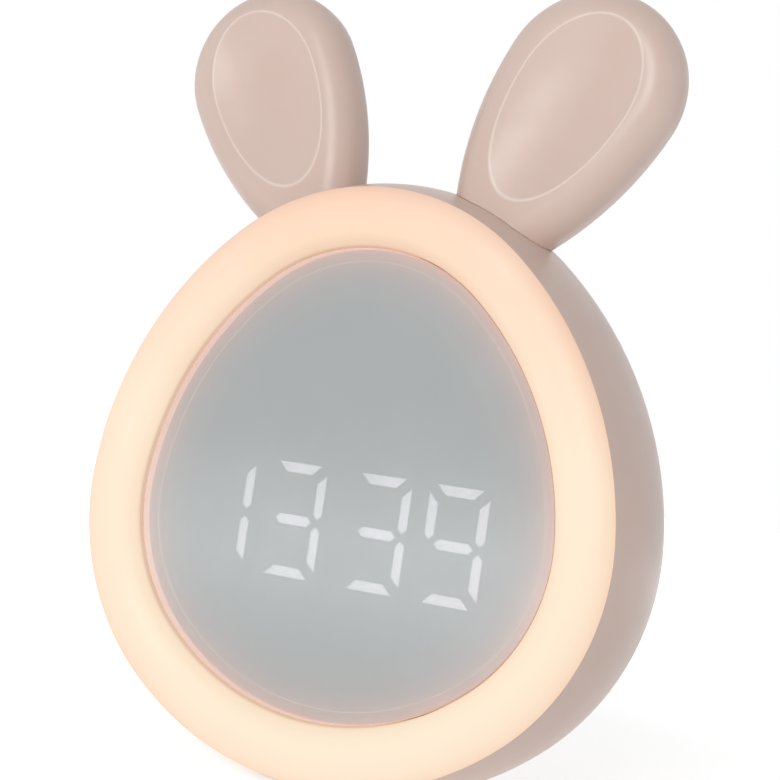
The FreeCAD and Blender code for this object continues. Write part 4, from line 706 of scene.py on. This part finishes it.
def nearness_tree():
    """Stores on each point how far it is from the windows that glow."""
    tree, given, result = new_tree("near_windows", [("Windows", "Object"), ("Finish", "Material")])
    windows = add_step(tree, "GeometryNodeObjectInfo", {"Object": given["Windows"]})
    near = add_step(
        tree, "GeometryNodeProximity", {0: windows.outputs["Geometry"]}, target_element="FACES"
    )
    kept = add_step(
        tree, "GeometryNodeStoreNamedAttribute",
        {
            "Geometry": given["Geometry"],
            "Name": "window_distance",
            "Value": near.outputs["Distance"],
        },
    )
    finish_tree(tree, kept.outputs[0], given, result)
    return tree


blank = sweep("lens_blank", lens_section, lens_finish, filled=True)
lens_mesh = blank.data
bpy.data.objects.remove(blank)
lens_mesh.name = "mirror_lens"
lens = grow(lens_mesh, nearness_tree(), Windows=lit_bars, Finish=lens_finish)
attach(lens, "clock_body")
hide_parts("face_lens")

# Each ear is two mouldings in the beige of the shell, front and back, held by screws from
# inside the housing. Along the crisp edge of the hollow in its front, a thin painted highlight
# of lighter colour stands in for the light that the edge catches.
dress(shell_finish, "ear_back_left", "ear_back_right")
ear_lean = math.radians(27.6)
tip_radius, dish_drop = 16.3 * MM, 2.6 * MM
dish_half_width, dish_rise, dish_fall = 10.3 * MM, 14.0 * MM, 21.0 * MM
# Painted highlight: a thin line of lighter colour along the edge of the dish, in place of the light it
# catches.
edge_width, edge_highlight_share = 0.25 * MM, 0.7
edge_highlight_colour = paint(246, 232, 224)
ear_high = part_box("ear_front_right")[1]
dish_x = ear_high.x - tip_radius - dish_drop * math.sin(ear_lean)
dish_z = ear_high.z - tip_radius - dish_drop * math.cos(ear_lean)


def dish_edge_highlight(finish, side):
    """Share of the painted highlight along the dish's edge, which falls to nothing on both sides of the
    edge.
    """
    tree = finish.node_tree
    middle = (side * dish_x, 0.0, dish_z)
    leaning = {"Vector": place_on(finish), "Center": middle, "Angle": -side * ear_lean}
    upright_ear = add_step(tree, "ShaderNodeVectorRotate", leaning, rotation_type="Y_AXIS")
    apart = {0: upright_ear.outputs[0], 1: middle}
    offset = add_step(tree, "ShaderNodeVectorMath", apart, operation="SUBTRACT")
    split = add_step(tree, "ShaderNodeSeparateXYZ", {"Vector": offset.outputs[0]}).outputs
    is_high = compute(finish, "GREATER_THAN", split["Z"])
    reach = spread(finish, is_high, low=dish_fall, high=dish_rise, start=0.0, end=1.0)
    shares = add_step(tree, "ShaderNodeCombineXYZ", {
        "X": compute(finish, "DIVIDE", split["X"], dish_half_width),
        "Y": compute(finish, "DIVIDE", split["Z"], reach),
    })
    length = add_step(tree, "ShaderNodeVectorMath", {0: shares.outputs[0]}, operation="LENGTH")
    beyond = compute(finish, "SUBTRACT", length.outputs["Value"], 1.0)
    from_edge = compute(finish, "ABSOLUTE", beyond)
    return spread(finish, from_edge, edge_highlight_share, 0.0, 0.0, edge_width / dish_half_width)


for side, name in ((-1, "ear_front_left"), (1, "ear_front_right")):
    # Each ear front takes the shell's finish, with the painted highlight line mixed into its colour.
    ear_finish = shell_finish.copy()
    ear_finish.name = f"{name}_shell"
    shell_colour = socket_of(ear_finish, "Base Color").links[0].from_socket
    ear_colour_with_highlight = blend(ear_finish, dish_edge_highlight(ear_finish, side), shell_colour, edge_highlight_colour)
    feed(ear_finish, "Base Color", ear_colour_with_highlight)
    dress(ear_finish, name)

# The clock stands on white paper in even studio light. The paper and the space behind it look
# white, and the paper keeps the clock's shadow near it.
paper_reach = 4.0
paper_corners = [(-1, -1), (1, -1), (1, 1), (-1, 1)]
paper_mesh = bpy.data.meshes.new("paper")
paper_points = [(paper_reach * x, paper_reach * y, 0.0) for x, y in paper_corners]
paper_mesh.from_pydata(paper_points, [], [(0, 1, 2, 3)])
paper = bpy.data.objects.new("paper", paper_mesh)
bpy.context.scene.collection.objects.link(paper)
paper_finish = new_finish("paper", paint(240, 240, 240), 0.8)
paper_mesh.materials.append(paper_finish)


def seen_directly(tree):
    """1 for what the camera, shiny surfaces and clear ones show, 0 for light on the clock."""
    path = add_step(tree, "ShaderNodeLightPath").outputs
    shown = path["Is Camera Ray"]
    for other in ("Is Glossy Ray", "Is Transmission Ray"):
        either = add_step(tree, "ShaderNodeMath", {0: shown, 1: path[other]}, operation="MAXIMUM")
        shown = either.outputs[0]
    return shown


white = (1.0, 1.0, 1.0, 1.0)
shadow_reach, plain_reach = 0.12, 0.45
near_level, plain_level = 0.6, 1.0
paper_tree = paper_finish.node_tree
paper_distance = add_step(
    paper_tree, "ShaderNodeVectorMath", {0: place_on(paper_finish)}, operation="LENGTH"
).outputs["Value"]
paper_level = spread(
    paper_finish, paper_distance, near_level, plain_level, shadow_reach, plain_reach
)
paper_share = spread(
    paper_finish, seen_directly(paper_tree), low=0.35, high=1.0, start=0.0, end=1.0
)
socket_of(paper_finish, "Emission Color").default_value = white
paper_strength = compute(paper_finish, "MULTIPLY", paper_level, paper_share)
feed(paper_finish, "Emission Strength", paper_strength)

studio = bpy.data.worlds.new("studio")
bpy.context.scene.world = studio
studio.use_nodes = True
studio_tree = studio.node_tree
surround = studio_tree.nodes["Background"]
surround.inputs["Color"].default_value = white
surround_levels = {"Value": seen_directly(studio_tree), "To Min": 0.34, "To Max": 1.0}
surround_level = add_step(studio_tree, "ShaderNodeMapRange", surround_levels)
studio_tree.links.new(surround_level.outputs["Result"], surround.inputs["Strength"])


def soft_box(name, place, target, size, power):
    """Square lamp that faces a point."""
    lamp = bpy.data.lights.new(name, "AREA")
    lamp.size = size
    lamp.energy = power
    holder = bpy.data.objects.new(name, lamp)
    holder.location = place
    view = Vector(target) - Vector(place)
    holder.rotation_euler = view.to_track_quat("-Z", "Y").to_euler()
    bpy.context.scene.collection.objects.link(holder)


clock_middle = (0.0, 0.0, 0.07)
soft_box("left_box", (-0.9, -0.5, 0.45), clock_middle, size=0.8, power=0.75)
soft_box("front_box", (0.08, -0.9, 0.4), clock_middle, size=0.4, power=2.95)
